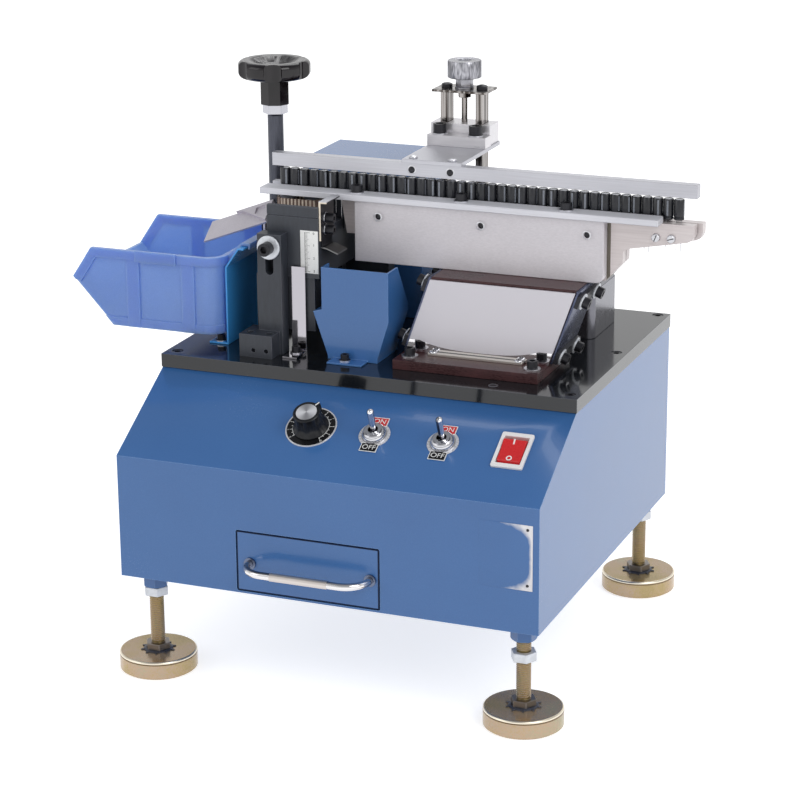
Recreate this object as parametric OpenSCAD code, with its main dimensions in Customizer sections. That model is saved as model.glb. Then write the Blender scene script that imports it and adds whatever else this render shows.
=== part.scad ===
// Component lead cutting machine, millimetres, +Z up
// Modules draw in the machine frame: x = 0 mid cabinet, y = 0 cabinet front, z = 0 cabinet bottom

/* [Cabinet] */
// Cabinet width
cab_w = 330; // [328:1:340]
// Cabinet depth
cab_d = 317; // [312:1:330]
// Cabinet height
cab_h = 141; // [130:1:150]
// Height of the fold below the control panel
fold_z = 95; // [90:1:100]
// Depth of the sloped control panel
slope_run = 80; // [76:1:84]
// Sheet thickness
sheet = 1.5; // [1:0.1:2]
// Top plate thickness
plate_t = 10.3; // [8:0.1:12]
// Front edge of the top plate
plate_front = 78.6; // [76:0.2:81]
// Top plate overhang
plate_over = 0.6; // [0.2:0.1:2]

/* [Feet] */
// Floor to cabinet bottom
foot_h = 79; // [70:1:90]
// Foot distance from the centre line
foot_x = 147; // [135:1:150]
// Front feet from the cabinet front
foot_front = 20.5; // [18:0.5:30]
// Rear feet from the cabinet back
foot_back = 11.5; // [11.5:0.5:27]
// Cup radius
cup_r = 29.5; // [24:0.5:32]
// Cup height
cup_h = 14.6; // [11:0.1:16]
// Stud diameter
stud_d = 10; // [8:0.5:12]
// Lock nut width across flats
nut_af = 17; // [16:0.5:19]
// Lock nut height
nut_h = 7; // [6:0.5:9]
// Welded boss height
boss_h = 12.5; // [10:0.5:14]
// Front right lock nut below its boss
nut_drop = 9; // [0:0.5:12]

/* [Drawer] */
// Drawer centre from the cabinet centre
drawer_x = -12.5; // [-20:0.5:0]
// Drawer front width
drawer_w = 112.6; // [104:0.2:118]
// Drawer front height
drawer_h = 46.4; // [42:0.2:52]
// Drawer tray depth
drawer_len = 150; // [140:1:165]
// Handle span
handle_span = 95; // [80:1:98]
// Handle reach
handle_reach = 23; // [19:0.5:26]
// Handle bar diameter
handle_d = 5.5; // [4.5:0.1:7]

/* [Control panel] */
// Controls, distance up the slope from the fold
panel_s = 49; // [45:0.5:50]
// Dial place
dial_x = -26; // [-32:1:-22]
// Left toggle place
toggle_left_x = 24; // [20:1:30]
// Right toggle place
toggle_right_x = 77; // [70:1:82]
// Rocker place
rocker_x = 130; // [122:1:135]
// Dial plate diameter
dial_d = 38.8; // [36:0.2:42]
// Dial knob height
knob_h = 17; // [14:0.5:19]
// Rocker bezel width
bezel_w = 24; // [23:0.5:27]
// Rocker bezel length
bezel_l = 33; // [32:0.5:35]

/* [Feeder] */
// Left end of the feeder base plate
feed_x = 14; // [12.5:0.5:16]
// Feeder base plate length
feed_l = 113.5; // [108:0.5:116]
// Front edge of the feeder base plate
feed_front = 102.3; // [99:0.1:106]
// Feeder base plate thickness
feed_t = 7.4; // [6:0.1:9]
// Front of the feeder cover
cover_y = 126; // [124:0.5:127]
// Feeder height, base plate top to track
feed_h = 58.8; // [56:0.2:61]
// Lean of the leaf springs
lean = 19.5; // [17:0.5:20]
// Leaf spring thickness
leaf_t = 2; // [1.5:0.1:2.2]

/* [Track] */
// Lead slot centre
slot_y = 169; // [168.6:0.1:169.4]
// Lead slot width
slot_w = 1.6; // [1.2:0.1:2]
// Track beam height
beam_h = 47; // [46:0.2:48]
// Track beam left end
beam_x0 = -36; // [-38:0.5:-30]
// Track beam right end
beam_x1 = 160.7; // [157:0.1:163]
// Left end of the rails
rail_x0 = -113; // [-116:0.5:-108]
// Right end of the front rail
rail_x1 = 202; // [195:1:208]
// Right end of the rear track plate
track_x1 = 229.8; // [228:0.2:234]
// Rail thickness
rail_t = 4.7; // [4:0.1:5.5]
// Component body diameter
cap_d = 7.8; // [6:0.2:7.8]
// Component body height
cap_h = 15.2; // [13:0.1:15.4]
// Components in the row
cap_n = 40; // [30:1:40]
// Component pitch
cap_pitch = 8; // [7.9:0.02:8.06]

/* [Guide] */
// Guide bar height
bar_h = 10; // [8:0.2:10]
// Guide bar above the components
bar_gap = 1.6; // [1.4:0.1:3]
// Post width
post_w = 5.5; // [4.5:0.1:6]
// Post depth
post_dp = 14; // [11:0.5:14.5]
// Post distance between centres
post_span = 28.6; // [26:0.2:31]
// Middle of the posts
post_x = 20.2; // [18:0.2:22]
// Underside of the cap plate above the deck
cap_z = 184.7; // [182:0.1:188]
// Adjuster knob diameter
adj_d = 26; // [24:0.5:29]

/* [Head] */
// Left side of the head front
head_x0 = -93.9; // [-95:0.1:-92]
// Right side of the head
head_x1 = -51.8; // [-53:0.1:-51.8]
// Head front face
head_y = 120; // [119.9:0.1:121]
// Underside of the head above the deck
head_z0 = 58.4; // [57:0.2:60]
// Cutter shaft from the cabinet centre
shaft_x = -73.1; // [-74:0.1:-72.5]
// Idler distance from the cutter shaft
idler_dx = 20.4; // [19:0.1:21]
// Belt centre line
belt_y = 159.5; // [158.5:0.1:159.6]
// Cutter disc radius
disc_r = 14; // [12:0.5:14]
// Clamp post slot width
post_slot = 6.6; // [6.6:0.1:8]

/* [Hand screw] */
// Hand screw from the cabinet centre
hand_x = -118; // [-119:0.1:-117.5]
// Hand screw from the cabinet front
hand_y = 192; // [191:0.5:193]
// Screw diameter
screw_d = 10; // [9:0.5:11]
// Sleeve diameter
sleeve_d = 12.2; // [11.8:0.1:13]
// Hand knob diameter
hand_d = 56; // [52:0.5:60]
// Hand knob top above the deck
hand_z = 208.2; // [205:0.2:212]

/* [Bin and covers] */
// Bin near side
bin_y0 = 108; // [104:1:110]
// Bin width
bin_w = 118; // [110:1:122]
// Bin bottom above the deck
bin_z = 8.7; // [7:0.1:10]
// Bin height
bin_h = 60.5; // [57:0.5:61]
// Bin length at the tip
bin_l = 126.5; // [120:0.5:132]
// Rear cover height
cover_h = 122.7; // [115:0.1:128]

/* [Clearances] */
// Running clearance on a radius
run = 0.05; // [0.02:0.01:0.09]
// Gap round the drawer front and other loose fits
loose = 0.6; // [0.3:0.05:0.8]
// Gap between sliding faces
slide = 0.3; // [0.2:0.05:0.4]

/* [Hidden] */
$fn = 64;
deck = cab_h + plate_t;
slope = atan((cab_h - fold_z) / slope_run);
foot_rear = cab_d - foot_back;
// Feeder faces
feed_z0 = deck + feed_t;
feed_z1 = feed_z0 + feed_h;
feed_y0 = cover_y + 1.5;
feed_y1 = slot_y + slot_w / 2 + 8;
low_z1 = feed_z0 + 13.3;
top_z0 = feed_z1 - 16;
leaf_y0 = feed_y0 + 1;
bolt_y = [leaf_y0 + 8, feed_y1 - 9];
// Track faces
track_z1 = feed_z1 + beam_h;
rail_z1 = track_z1 + rail_t;
plate_y = slot_y - slot_w / 2;
plate_y1 = slot_y + slot_w / 2;
beam_y1 = plate_y - 7.7;
beam_y0 = beam_y1 - 8.5;
cap_z0 = track_z1 + 1.8;
cap_z1 = cap_z0 + cap_h;
cap_x0 = rail_x0 + 13;
cut_x = shaft_x + 15;
// Guide faces
bar_z0 = cap_z1 + bar_gap;
bar_z1 = bar_z0 + bar_h;
car_z0 = bar_z1 + 3;
car_z1 = car_z0 + 15.5;
cap_under = deck + cap_z;
cap_t = 1.8;
lead_d = 4.5;
post_y = 239;
block_z = deck + 37.7;
bar_x0 = rail_x0 + 3.5;
bar_x1 = track_x1 - 3.8;
// Head faces
head_z = deck + head_z0;
head_top = head_z + 36.3;
head_cap = head_z + 54.3;
head_y1 = 204.5;
belt_z0 = head_top + 4;
belt_z1 = belt_z0 + 11.5;
belt_r = 8;
pulley_r = belt_r - 1.2 - slide;
idler_x = shaft_x - idler_dx;
clamp_y = head_y - slide;
lock_z = head_z + 24.3;
lock_x = head_x0 + 6.7;
motor_z = head_z - 38.7;
stand_y = head_y1 + 0.5;
// Hand screw levels
arm_z0 = head_z + 5.3;
arm_z1 = arm_z0 + 20;
hand_top = deck + hand_z;
// Bin and bracket
plate_x = -127.2;
bin_x = plate_x - sheet - slide;
bin_z0 = deck + bin_z;
bin_z1 = bin_z0 + bin_h;
tip_x = bin_x - bin_l;
// Outer limits and origin, middle of the floor area
mid_x = (tip_x + track_x1) / 2;
mid_y = (foot_rear + cup_r - handle_reach) / 2;

// Colours
blue = [0.29, 0.44, 0.65];
dark_blue = [0.18, 0.36, 0.60];
violet = [0.45, 0.53, 0.78];
black = [0.10, 0.10, 0.11];
steel = [0.72, 0.72, 0.74];
chrome = [0.82, 0.82, 0.84];
alu = [0.78, 0.78, 0.82];
zinc = [0.75, 0.65, 0.47];
brown = [0.41, 0.27, 0.29];
tan_col = [0.72, 0.68, 0.66];
red = [0.78, 0.16, 0.18];
white = [0.92, 0.92, 0.92];
green = [0.15, 0.40, 0.25];

// Helpers
module machine() translate([-mid_x, -mid_y, foot_h]) children();
module box(a, b) translate(a) cube(b - a);
module xz(y0, y1) translate([0, y1, 0]) rotate([90, 0, 0]) linear_extrude(y1 - y0) children();
module yz(x0, x1) translate([x0, 0, 0]) rotate([90, 0, 90]) linear_extrude(x1 - x0) children();
module rod_x(x0, x1, y, z, d) translate([x0, y, z]) rotate([0, 90, 0]) cylinder(d = d, h = x1 - x0);
module rod_y(x, y0, y1, z, d) translate([x, y1, z]) rotate([90, 0, 0]) cylinder(d = d, h = y1 - y0);
module rod_z(x, y, z0, z1, d) translate([x, y, z0]) cylinder(d = d, h = z1 - z0);
module hex_z(x, y, z0, z1, af) translate([x, y, z0]) cylinder(d = af / cos(30), h = z1 - z0, $fn = 6);
module turned_hex(x, y, z0, z1) {
    translate([x, y, z0]) rotate(x > 0 ? 22 : -8) cylinder(d = nut_af / cos(30), h = z1 - z0, $fn = 6);
}
module on_slope(x) {
    translate([x, panel_s * cos(slope), fold_z + panel_s * sin(slope)]) rotate([slope, 0, 0]) children();
}
module round_box(w, l, r) {
    square([w - 2 * r, l], center = true);
    square([w, l - 2 * r], center = true);
    for (i = [-1, 1], j = [-1, 1]) translate([i * (w / 2 - r), j * (l / 2 - r)]) circle(r);
}

// Cabinet
module cabinet_shell() {
    drop = sheet / cos(slope);
    in_y = (cab_h - sheet - fold_z + drop) / tan(slope);
    in_z = fold_z + sheet * tan(slope) - drop;
    color(blue) machine() difference() {
        yz(-cab_w / 2, cab_w / 2)
            polygon([[0, 0], [cab_d, 0], [cab_d, cab_h], [slope_run, cab_h], [0, fold_z]]);
        yz(-cab_w / 2 + sheet, cab_w / 2 - sheet) polygon([[sheet, -1], [cab_d + 1, -1],
            [cab_d + 1, cab_h - sheet], [in_y, cab_h - sheet], [sheet, in_z]]);
        xz(-1, sheet + 1) translate([drawer_x, sheet + loose + drawer_h / 2])
            round_box(drawer_w + 2 * loose, drawer_h + 2 * loose, 1.2 + loose);
        on_slope(dial_x) translate([0, 0, -5]) cylinder(d = 9, h = 10);
        for (x = [toggle_left_x, toggle_right_x]) on_slope(x) translate([0, 0, -5]) cylinder(d = 12, h = 10);
        on_slope(rocker_x) translate([0, 0, -5]) linear_extrude(10)
            square([bezel_w - 3 + 2 * run, bezel_l - 5 + 2 * run], true);
        box([-38, plate_front + 34.4, cab_h - 5], [-4, 147, cab_h + 5]);
    }
}

module base_panels() {
    color(blue) machine() {
        difference() {
            union() {
                box([-cab_w / 2 + sheet, sheet, 0], [cab_w / 2 - sheet, cab_d - sheet, sheet]);
                for (x = [-foot_x, foot_x], y = [foot_front, foot_rear]) intersection() {
                    turned_hex(x, y, -boss_h, 0.5);
                    translate([x, y, -boss_h]) cylinder(d1 = nut_af + 0.6, d2 = nut_af + 60, h = 30);
                }
            }
            for (x = [-foot_x, foot_x], y = [foot_front, foot_rear])
                rod_z(x, y, -boss_h - 1, sheet + 1, stud_d + 2 * run);
        }
        difference() {
            box([-cab_w / 2 + sheet, cab_d - sheet, 0], [cab_w / 2 - sheet, cab_d, cab_h - sheet]);
            for (i = [0:7]) box([-120 + 12 * i, cab_d - 5, 70], [-115 + 12 * i, cab_d + 5, 115]);
            xz(cab_d - 5, cab_d + 5) translate([100, 40]) round_box(30.4, 22.4, 3);
        }
    }
}

module top_plate() {
    color(black) machine() difference() {
        box([-cab_w / 2 - plate_over, plate_front, cab_h],
            [cab_w / 2 + plate_over, cab_d + plate_over, deck]);
        box([-38, plate_front + 34.4, cab_h - 1], [-4, 147, deck + 1]);
        for (x = [-157, 157], y = [plate_front + 10.8, 200.4, cab_d - 6]) rod_z(x, y, deck - 5, deck + 1, 8.8);
    }
}

module cap_screw(d, h, socket) difference() {
    cylinder(d = d, h = h);
    translate([0, 0, h / 2]) cylinder(d = socket / cos(30), h = h, $fn = 6);
}
module washer_screw(d, h, socket, washer) {
    cylinder(d = washer, h = 0.9);
    translate([0, 0, 0.5]) cap_screw(d, h + 0.4, socket);
}
module pan_screw(d, h) intersection() {
    cylinder(d = d, h = h);
    translate([0, 0, h - d]) sphere(d);
}

module base_screws() {
    color(black) machine() {
        for (x = [-157, 157], y = [plate_front + 10.8, 200.4, cab_d - 6])
            translate([x, y, deck - 5]) cap_screw(8.6, 4.6, 4);
        translate([-25.4, 105, deck + sheet]) washer_screw(6.5, 4.2, 3.5, 9);
        translate([-68.2, 111.5, deck + sheet]) washer_screw(6.5, 4.2, 3.5, 9);
        translate([plate_x - 8.2, 121.8, deck + sheet]) washer_screw(6.5, 4.2, 3.5, 9);
        for (x = [feed_x + 8.8, feed_x + feed_l - 8.4])
            translate([x, feed_front + 13, feed_z0]) washer_screw(8, 5.6, 4, 12.5);
        for (x = [-1, 1]) translate([post_x + x * post_span / 2, post_y, cap_under + cap_t]) pan_screw(8.5, 3.6);
        spring_bolts(feed_z0 + 6.6);
    }
}

// Clamp bar and two bolt heads on the outside of each leaf spring at height z
module spring_bolts(z) {
    for (side = [-1, 1]) translate([end_x(side, z), 0, z]) rotate([0, side * 90 + lean, 0]) {
        translate([-4.5, leaf_y0, leaf_t + 0.03]) cube([9, feed_y1 - leaf_y0, 3]);
        for (y = bolt_y) translate([0, y, leaf_t + 3.03]) cap_screw(8.5, 6, 4);
    }
}
function end_x(side, z) = feed_x + 0.7 + (z - feed_z0) * tan(lean) + (side > 0 ? feed_l - 0.7 : 0);

// Feet
module foot(x, y) {
    color(zinc) machine() translate([x, y, -foot_h]) {
        rotate_extrude() difference() {
            union() {
                translate([0, 1.2]) square([cup_r, cup_h - 2.7]);
                translate([0, cup_h - 2]) square([cup_r - 1.5, 2]);
                translate([cup_r - 1.5, cup_h - 1.5]) circle(1.5);
            }
            square([cup_r - 2, cup_h - 3]);
            translate([-9, 0]) square([9, 50]);
        }
        cylinder(r = cup_r - 1.8, h = cup_h - 2.8);
        hex_z(0, 0, cup_h - 1, cup_h + 6, nut_af);
        rod_z(0, 0, cup_h - 1, foot_h + sheet + 8, stud_d);
    }
}
module foot_front_left() foot(-foot_x, foot_front);
module foot_front_right() foot(foot_x, foot_front);
module foot_rear_left() foot(-foot_x, foot_rear);
module foot_rear_right() foot(foot_x, foot_rear);

module foot_nuts() {
    color(chrome) machine() for (x = [-foot_x, foot_x], y = [foot_front, foot_rear]) {
        drop = x > 0 && y < cab_d / 2 ? nut_drop : 0;
        difference() {
            hex_z(x, y, -boss_h - nut_h - drop, -boss_h - 0.1 - drop, nut_af);
            rod_z(x, y, -boss_h - 2 * nut_h - drop, 0, stud_d + 2 * run);
        }
    }
}

// Drawer
module drawer_front() {
    color(blue) machine() xz(0, 2) translate([drawer_x, sheet + loose + drawer_h / 2])
        round_box(drawer_w, drawer_h, 1.2);
}
module drawer_tray() {
    hw = drawer_w / 2 - 3;
    z0 = 2 * sheet + slide;
    color(blue) machine() difference() {
        box([drawer_x - hw, 2, z0], [drawer_x + hw, 2 + drawer_len, sheet + loose + drawer_h - 4.5]);
        box([drawer_x - hw + 1.2, 3.2, z0 + 1.2], [drawer_x + hw - 1.2, 0.8 + drawer_len, 60]);
    }
}
module drawer_handle() {
    bend = handle_reach - 6;
    y0 = handle_d / 2 + 0.4 - handle_reach;
    color(chrome) machine() translate([drawer_x + 2, 0, sheet + loose + drawer_h / 2 - 1]) {
        rod_x(-handle_span / 2 + bend, handle_span / 2 - bend, y0, 0, handle_d);
        rod_x(-handle_span / 2 + bend + 8, handle_span / 2 - bend - 8, y0, 0, handle_d + 0.8);
        for (s = [0, 1]) mirror([s, 0, 0]) {
            translate([-handle_span / 2 + bend, y0 + bend, 0]) rotate([0, 0, 180])
                rotate_extrude(angle = 90) translate([bend, 0]) circle(d = handle_d);
            rod_y(-handle_span / 2, y0 + bend, 0, 0, handle_d);
            rod_y(-handle_span / 2, -1.6, 0, 0, handle_d + 3.5);
        }
    }
}
module drawer_runners() {
    hw = drawer_w / 2 - 3;
    color(steel) machine() translate([drawer_x, 0, 0]) for (s = [0, 1]) mirror([s, 0, 0]) {
        box([hw - 8, 4, sheet], [hw + slide + 1.5, drawer_len + 5, 2 * sheet]);
        box([hw + slide, 4, sheet], [hw + slide + 1.5, drawer_len + 5, 22]);
    }
}

// Controls
module legend_plates() {
    color(steel) machine() {
        on_slope(dial_x) difference() {
            translate([0, 0, 0.02]) cylinder(d = dial_d, h = 0.8);
            translate([0, 0, -1]) cylinder(d = 9, h = 4);
        }
        for (x = [toggle_left_x, toggle_right_x]) on_slope(x) difference() {
            translate([0, 0, 0.02]) linear_extrude(0.76) {
                circle(d = 23.5);
                square([13, 33], center = true);
            }
            translate([0, 0, -1]) cylinder(d = 12, h = 4);
        }
    }
}
module dial_pot() {
    color(steel) machine() on_slope(dial_x) difference() {
        union() {
            translate([0, 0, -sheet - 14]) cylinder(d = 24, h = 14);
            translate([0, 0, -sheet]) cylinder(d = 9 - 2 * run, h = sheet + 1);
        }
        translate([0, 0, -12]) cylinder(d = 6 + 2 * run, h = 20);
    }
}
module dial_knob() {
    color(black) machine() on_slope(dial_x) {
        translate([0, 0, -11]) cylinder(d = 6, h = 14);
        translate([0, 0, 1.2]) cylinder(d1 = 27, d2 = 23, h = 3);
        translate([0, 0, 4.2]) cylinder(d1 = 22.6, d2 = 20.6, h = knob_h - 4.2);
        rotate([0, 0, -32]) translate([-1.5, 0, knob_h - 6]) cube([3, 12.2, 6]);
    }
}
module toggle_bodies() {
    color(chrome) machine() for (x = [toggle_left_x, toggle_right_x]) on_slope(x) difference() {
        union() {
            translate([-9, -15, -sheet - 22]) cube([18, 30, 22]);
            translate([0, 0, -sheet]) cylinder(d = 12 - 2 * run, h = sheet + 6.5);
            translate([0, 0, 0.8]) cylinder(d1 = 17, d2 = 14.6, h = 4);
        }
        translate([0, 0, -1.8]) cylinder(d = 7.6, h = 20);
        rod_x(-5.5, 5.5, 0, 2, 2.4 + 2 * run);
    }
}
module toggle_lever(x) {
    color(chrome) machine() on_slope(x) translate([0, 0, 2]) rotate([-10, 0, 0]) {
        sphere(d = 6.8);
        rod_x(-5.2, 5.2, 0, 0, 2.4);
        cylinder(d1 = 4.2, d2 = 5.2, h = 19.2);
        translate([0, 0, 19.2]) sphere(d = 5.2);
    }
}
module toggle_lever_left() toggle_lever(toggle_left_x);
module toggle_lever_right() toggle_lever(toggle_right_x);

module rocker_housing() {
    w = bezel_w - 3;
    l = bezel_l - 5;
    color(white) machine() on_slope(rocker_x) difference() {
        union() {
            linear_extrude(2) round_box(bezel_w, bezel_l, 1.5);
            translate([-w / 2, -l / 2, -16]) cube([w, l, 16.5]);
        }
        translate([-w / 2 + 1.2, -l / 2 + 1.2, -13]) cube([w - 2.4, l - 2.4, 30]);
    }
}
module rocker_button() {
    w = bezel_w - 5.4 - 2 * loose;
    l = bezel_l - 7.4 - 2 * loose;
    color(red) machine() on_slope(rocker_x) translate([0, 0, -5]) rotate([7, 0, 0]) intersection() {
        rotate([0, 90, 0]) cylinder(r = l / 2, h = w, center = true);
        yz(-w / 2, w / 2) polygon([[-15, -2], [15, -2], [15, 9.2], [0, 7.4], [-15, 9.2]]);
    }
}
module power_inlet() {
    color(black) machine() translate([100, cab_d, 40]) difference() {
        union() {
            xz(0, 2.5) round_box(48, 28, 4);
            xz(-16, 1) round_box(30, 22, 3);
        }
        xz(-13, 5) round_box(25, 17, 3);
    }
}
module control_board() {
    color(green) machine() translate([60, cab_d - 137, sheet]) {
        translate([0, 0, 8]) cube([90, 90, 1.6]);
        for (x = [6, 84], y = [6, 84]) translate([x, y, 0]) cylinder(d = 6, h = 8.2);
        translate([12, 16, 9]) cube([34, 34, 26]);
        translate([56, 14, 9]) cube([22, 12, 14]);
        translate([58, 50, 9]) cylinder(d = 16, h = 26);
    }
}

// Hopper, bin and chute
module hopper_outline(t) {
    polygon([[-41.6 + t, deck - 6], [-41.6 + t, deck + 2.7], [-53 + 1.1 * t, deck + 36], [-46 + t, deck + 38],
        [-46 + t, deck + 70.7], [8 - t, deck + 70.7], [8 - t, deck + 32.7], [-1 - t, deck + 3.7],
        [-1 - t, deck - 6]]);
}
module lead_hopper() {
    y0 = 110;
    y1 = beam_y0 - 2;
    color(blue) machine() difference() {
        union() {
            xz(y0, y1) hopper_outline(0);
            box([-37, 97, deck], [-9, y0 + 1, deck + sheet]);
        }
        xz(y0 + sheet, y1 - sheet) union() {
            hopper_outline(sheet);
            polygon([[-46 + sheet, deck + 69], [8 - sheet, deck + 69], [8 - sheet, deck + 80], [-46 + sheet, deck + 80]]);
            polygon([[-41.6 + sheet, deck - 9], [-1 - sheet, deck - 9], [-1 - sheet, deck], [-41.6 + sheet, deck]]);
        }
        box([-60, y0 - 1, deck - 9], [20, y1 + 1, deck]);
        box([-60, y1 - sheet - 1, deck + 42], [8 - sheet, y1 + 1, deck + 80]);
        // Side walls that slope down to the back wall
        yz(-60, 20) polygon([[y0 + 19.5, deck + 80], [y0 + 19.5, deck + 70.7], [y1 + 1, deck + 36],
            [y1 + 1, deck + 80]]);
        // Notch that lets the deflector of the head down into the hopper
        box([-60, head_y + 3, deck + 61], [-40, head_y + 23.5, deck + 80]);
    }
}

module bin_plan(t) {
    r = 16;
    translate([tip_x - 20, bin_y0 + t]) square([bin_l + 20 - r, bin_w - 2 * t]);
    translate([tip_x - 20, bin_y0 + r]) square([bin_l + 20 - t, bin_w - 2 * r]);
    for (y = [bin_y0 + r, bin_y0 + bin_w - r]) translate([bin_x - r, y]) circle(r - t);
}
module bin_side(t) {
    polygon([[tip_x + 33.5 + t * 0.5, bin_z0 + t], [bin_x, bin_z0 + t], [bin_x, bin_z1 + t],
        [tip_x + 16.5 - 8 * t, bin_z1 + t], [tip_x + 1.2 * t, bin_z0 + bin_h * 0.6]]);
}
module parts_bin() {
    color(violet) machine() {
        difference() {
            intersection() {
                xz(bin_y0 - 5, bin_y0 + bin_w + 5) bin_side(0);
                union() {
                    translate([0, 0, bin_z0 - 1]) linear_extrude(bin_h + 2) bin_plan(2);
                    translate([0, 0, bin_z1 - 7]) linear_extrude(9) bin_plan(0);
                    translate([0, 0, bin_z0 - 1]) linear_extrude(8) bin_plan(1);
                    intersection() {
                        xz(bin_y0 - 5, bin_y0 + bin_w + 5) polygon([[tip_x - 2, bin_z0 + bin_h * 0.58],
                            [tip_x + 16, bin_z1 + 2], [tip_x + 27, bin_z1 + 2], [tip_x + 7, bin_z0 + bin_h * 0.54]]);
                        translate([0, 0, bin_z0]) linear_extrude(bin_h + 2) bin_plan(0.4);
                    }
                    for (x = [bin_x - 80, bin_x - 33]) box([x, bin_y0 + 0.6, bin_z0], [x + 11, bin_y0 + 5, bin_z1]);
                    for (x = [bin_x - 80, bin_x - 33])
                        box([x, bin_y0 + bin_w - 5, bin_z0], [x + 11, bin_y0 + bin_w - 0.6, bin_z1]);
                }
            }
            intersection() {
                xz(bin_y0 - 5, bin_y0 + bin_w + 5) union() {
                    bin_side(2);
                    polygon([[tip_x - 9, bin_z0 + bin_h * 0.6], [tip_x + 3, bin_z0 + bin_h * 0.6],
                        [bin_x - 4, bin_z0 + bin_h * 0.5], [bin_x - 2, bin_z1 + 9], [tip_x - 9, bin_z1 + 9]]);
                }
                translate([0, 0, bin_z0 + 2]) linear_extrude(bin_h + 9) bin_plan(4.2);
            }
        }
        // Label clip on the near rim
        box([bin_x - 71.5, bin_y0 - 1.2, bin_z1 - 8], [bin_x - 36.5, bin_y0 + 1, bin_z1 + 0.8]);
        // Hanger lip over the top of the bracket
        xz(124, 152) polygon([[bin_x, bin_z1 - 8], [bin_x, bin_z1], [plate_x + 9.6, deck + 79.6],
            [plate_x + 16.6, deck + 79.6], [plate_x + 16.6, deck + 75], [plate_x + 15.1, deck + 75],
            [plate_x + 15.1, deck + 77.4], [plate_x + 9.7, deck + 77.4]]);
    }
}
module bin_bracket() {
    color(dark_blue) machine() {
        box([-143.5, 117, deck], [plate_x, 180, deck + sheet]);
        xz(117, 180) polygon([[plate_x - sheet, deck], [plate_x, deck], [plate_x, deck + 61],
            [plate_x + 10.2, deck + 75.5], [plate_x + 14.6, deck + 75.5], [plate_x + 14.6, deck + 77],
            [plate_x + 9.6, deck + 77], [plate_x - sheet, deck + 61.5]]);
    }
}
// Frame of the chute floor, origin at its near right corner
module on_chute() {
    translate([rail_x0, 160, deck + 88.3]) rotate([0, -20.7, 0]) rotate([24, 0, 0]) children();
}
module outlet_chute() {
    color(tan_col) machine() {
        on_chute() {
            translate([-58, 0, -1.2]) cube([58, 26.6, 1.2]);
            difference() {
                linear_extrude(2.3) polygon([[0, 0], [0, 26.6], [-34.5, 26.6], [-27.4, 24.3]]);
                translate([0, 0, 0.8]) linear_extrude(3) polygon([[-2, 4.5], [-6, 22.5], [-14.4, 22.1], [-13.6, 14]]);
            }
        }
        difference() {
            box([plate_x + 11.2, 160.5, deck + 77], [plate_x + 12.7, 172, deck + 99]);
            on_chute() translate([-60, -9, -1.2]) cube([70, 40, 30]);
        }
    }
}

// Head and its post
module clamp_post() {
    w = 19.5;
    x0 = lock_x - w / 2;
    color(black) machine() difference() {
        union() {
            box([x0 - 10, clamp_y - 26.2, deck], [x0 + w - 2.5, clamp_y, deck + 17.7]);
            box([x0, clamp_y - 11.7, deck], [x0 + w, clamp_y, head_z + 34.3]);
        }
        xz(clamp_y - 20, clamp_y + 1) translate([lock_x, 0]) {
            for (z = [head_z + 6.3, lock_z + 2]) translate([0, z]) circle(d = post_slot);
            translate([-post_slot / 2, head_z + 6.3]) square([post_slot, lock_z + 2 - head_z - 6.3]);
        }
        for (x = [x0 + 1.5, x0 + 12]) rod_y(x, clamp_y - 30, clamp_y - 22, deck + 5.5, 3.4);
        for (x = [x0 - 4, x0 + 12]) rod_z(x, clamp_y - 19, deck + 12, deck + 20, 5.5);
    }
}
module length_pointer() {
    color(steel) machine() {
        box([-74, head_y - 21.2, deck], [-62.3, head_y - 1, deck + sheet]);
        box([-74, head_y - 2.5, deck], [-62.3, head_y - 1, head_z + 8.8]);
    }
}

module head_block() {
    rear = slot_y + 1.2;
    color(black) machine() difference() {
        union() {
            box([head_x0, head_y, head_z], [head_x1, head_y + 4, head_cap]);
            box([head_x0, head_y, head_z], [head_x1, head_y + 21.5, head_top]);
            box([head_x1 - 12, head_y, head_z], [head_x1, head_y + 16, head_z + 50]);
            box([idler_x - 9.2, head_y + 21, head_z], [head_x1, head_y1, head_top]);
            box([idler_x - 9.2, rear, head_top], [head_x1, rear + 7, belt_z1]);
            box([hand_x - 9.5, hand_y - 10, arm_z0], [idler_x - 9, hand_y + 8, arm_z1]);
            rod_z(idler_x, belt_y, head_top, belt_z1, 6);
        }
        box([idler_x - 20, slot_y - 2, head_z + 27.3], [head_x1 + 1, slot_y + 1.2, head_top + 1]);
        rod_z(shaft_x, belt_y, head_top, belt_z0 - 0.4, 2 * disc_r + 2);
        rod_z(shaft_x, belt_y, head_z - 1, head_top + 1, 6 + 2 * run);
        rod_z(hand_x, hand_y, arm_z0 - 1, arm_z1 + 1, screw_d + 2 * run);
        box([-88 - slide, head_y1 - 7.8, head_z - 1], [-66 + slide, head_y1 + 1, head_top + 1]);
        rod_y(lock_x, head_y - 1, head_y + 12, lock_z, 6);
        for (z = [head_z + 36.3, head_z + 45.3]) rod_x(head_x1 - 10, head_x1 + 1, head_y + 10, z, 4);
        box([head_x0 - 1, head_y - 1, head_z + 46.2], [head_x1 + 1, head_y + 0.8, head_z + 47]);
    }
}
module guard_plate() {
    x = head_x1;
    z = head_z + 29;
    color(steel) machine() difference() {
        union() {
            xz(head_y + 1, head_y + 26) polygon([[x, z], [x, z + 30.3], [x + 6.5, z + 30.3], [x + 6.5, z + 28.8],
                [x + 1.5, z + 28.8], [x + 1.5, z]]);
            xz(head_y + 4, head_y + 22.5) polygon([[x, z + 1], [x + 1.5, z + 1], [x + 1.5, z - 5],
                [x + 4.9, z - 5.7], [x + 13.7, z - 9.1], [x + 13.7, z - 10.2], [x + 4.9, z - 6.8], [x, z - 6]]);
        }
        for (h = [head_z + 36.3, head_z + 45.3]) rod_x(x - 1, x + 3, head_y + 10, h, 4);
    }
}
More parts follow.
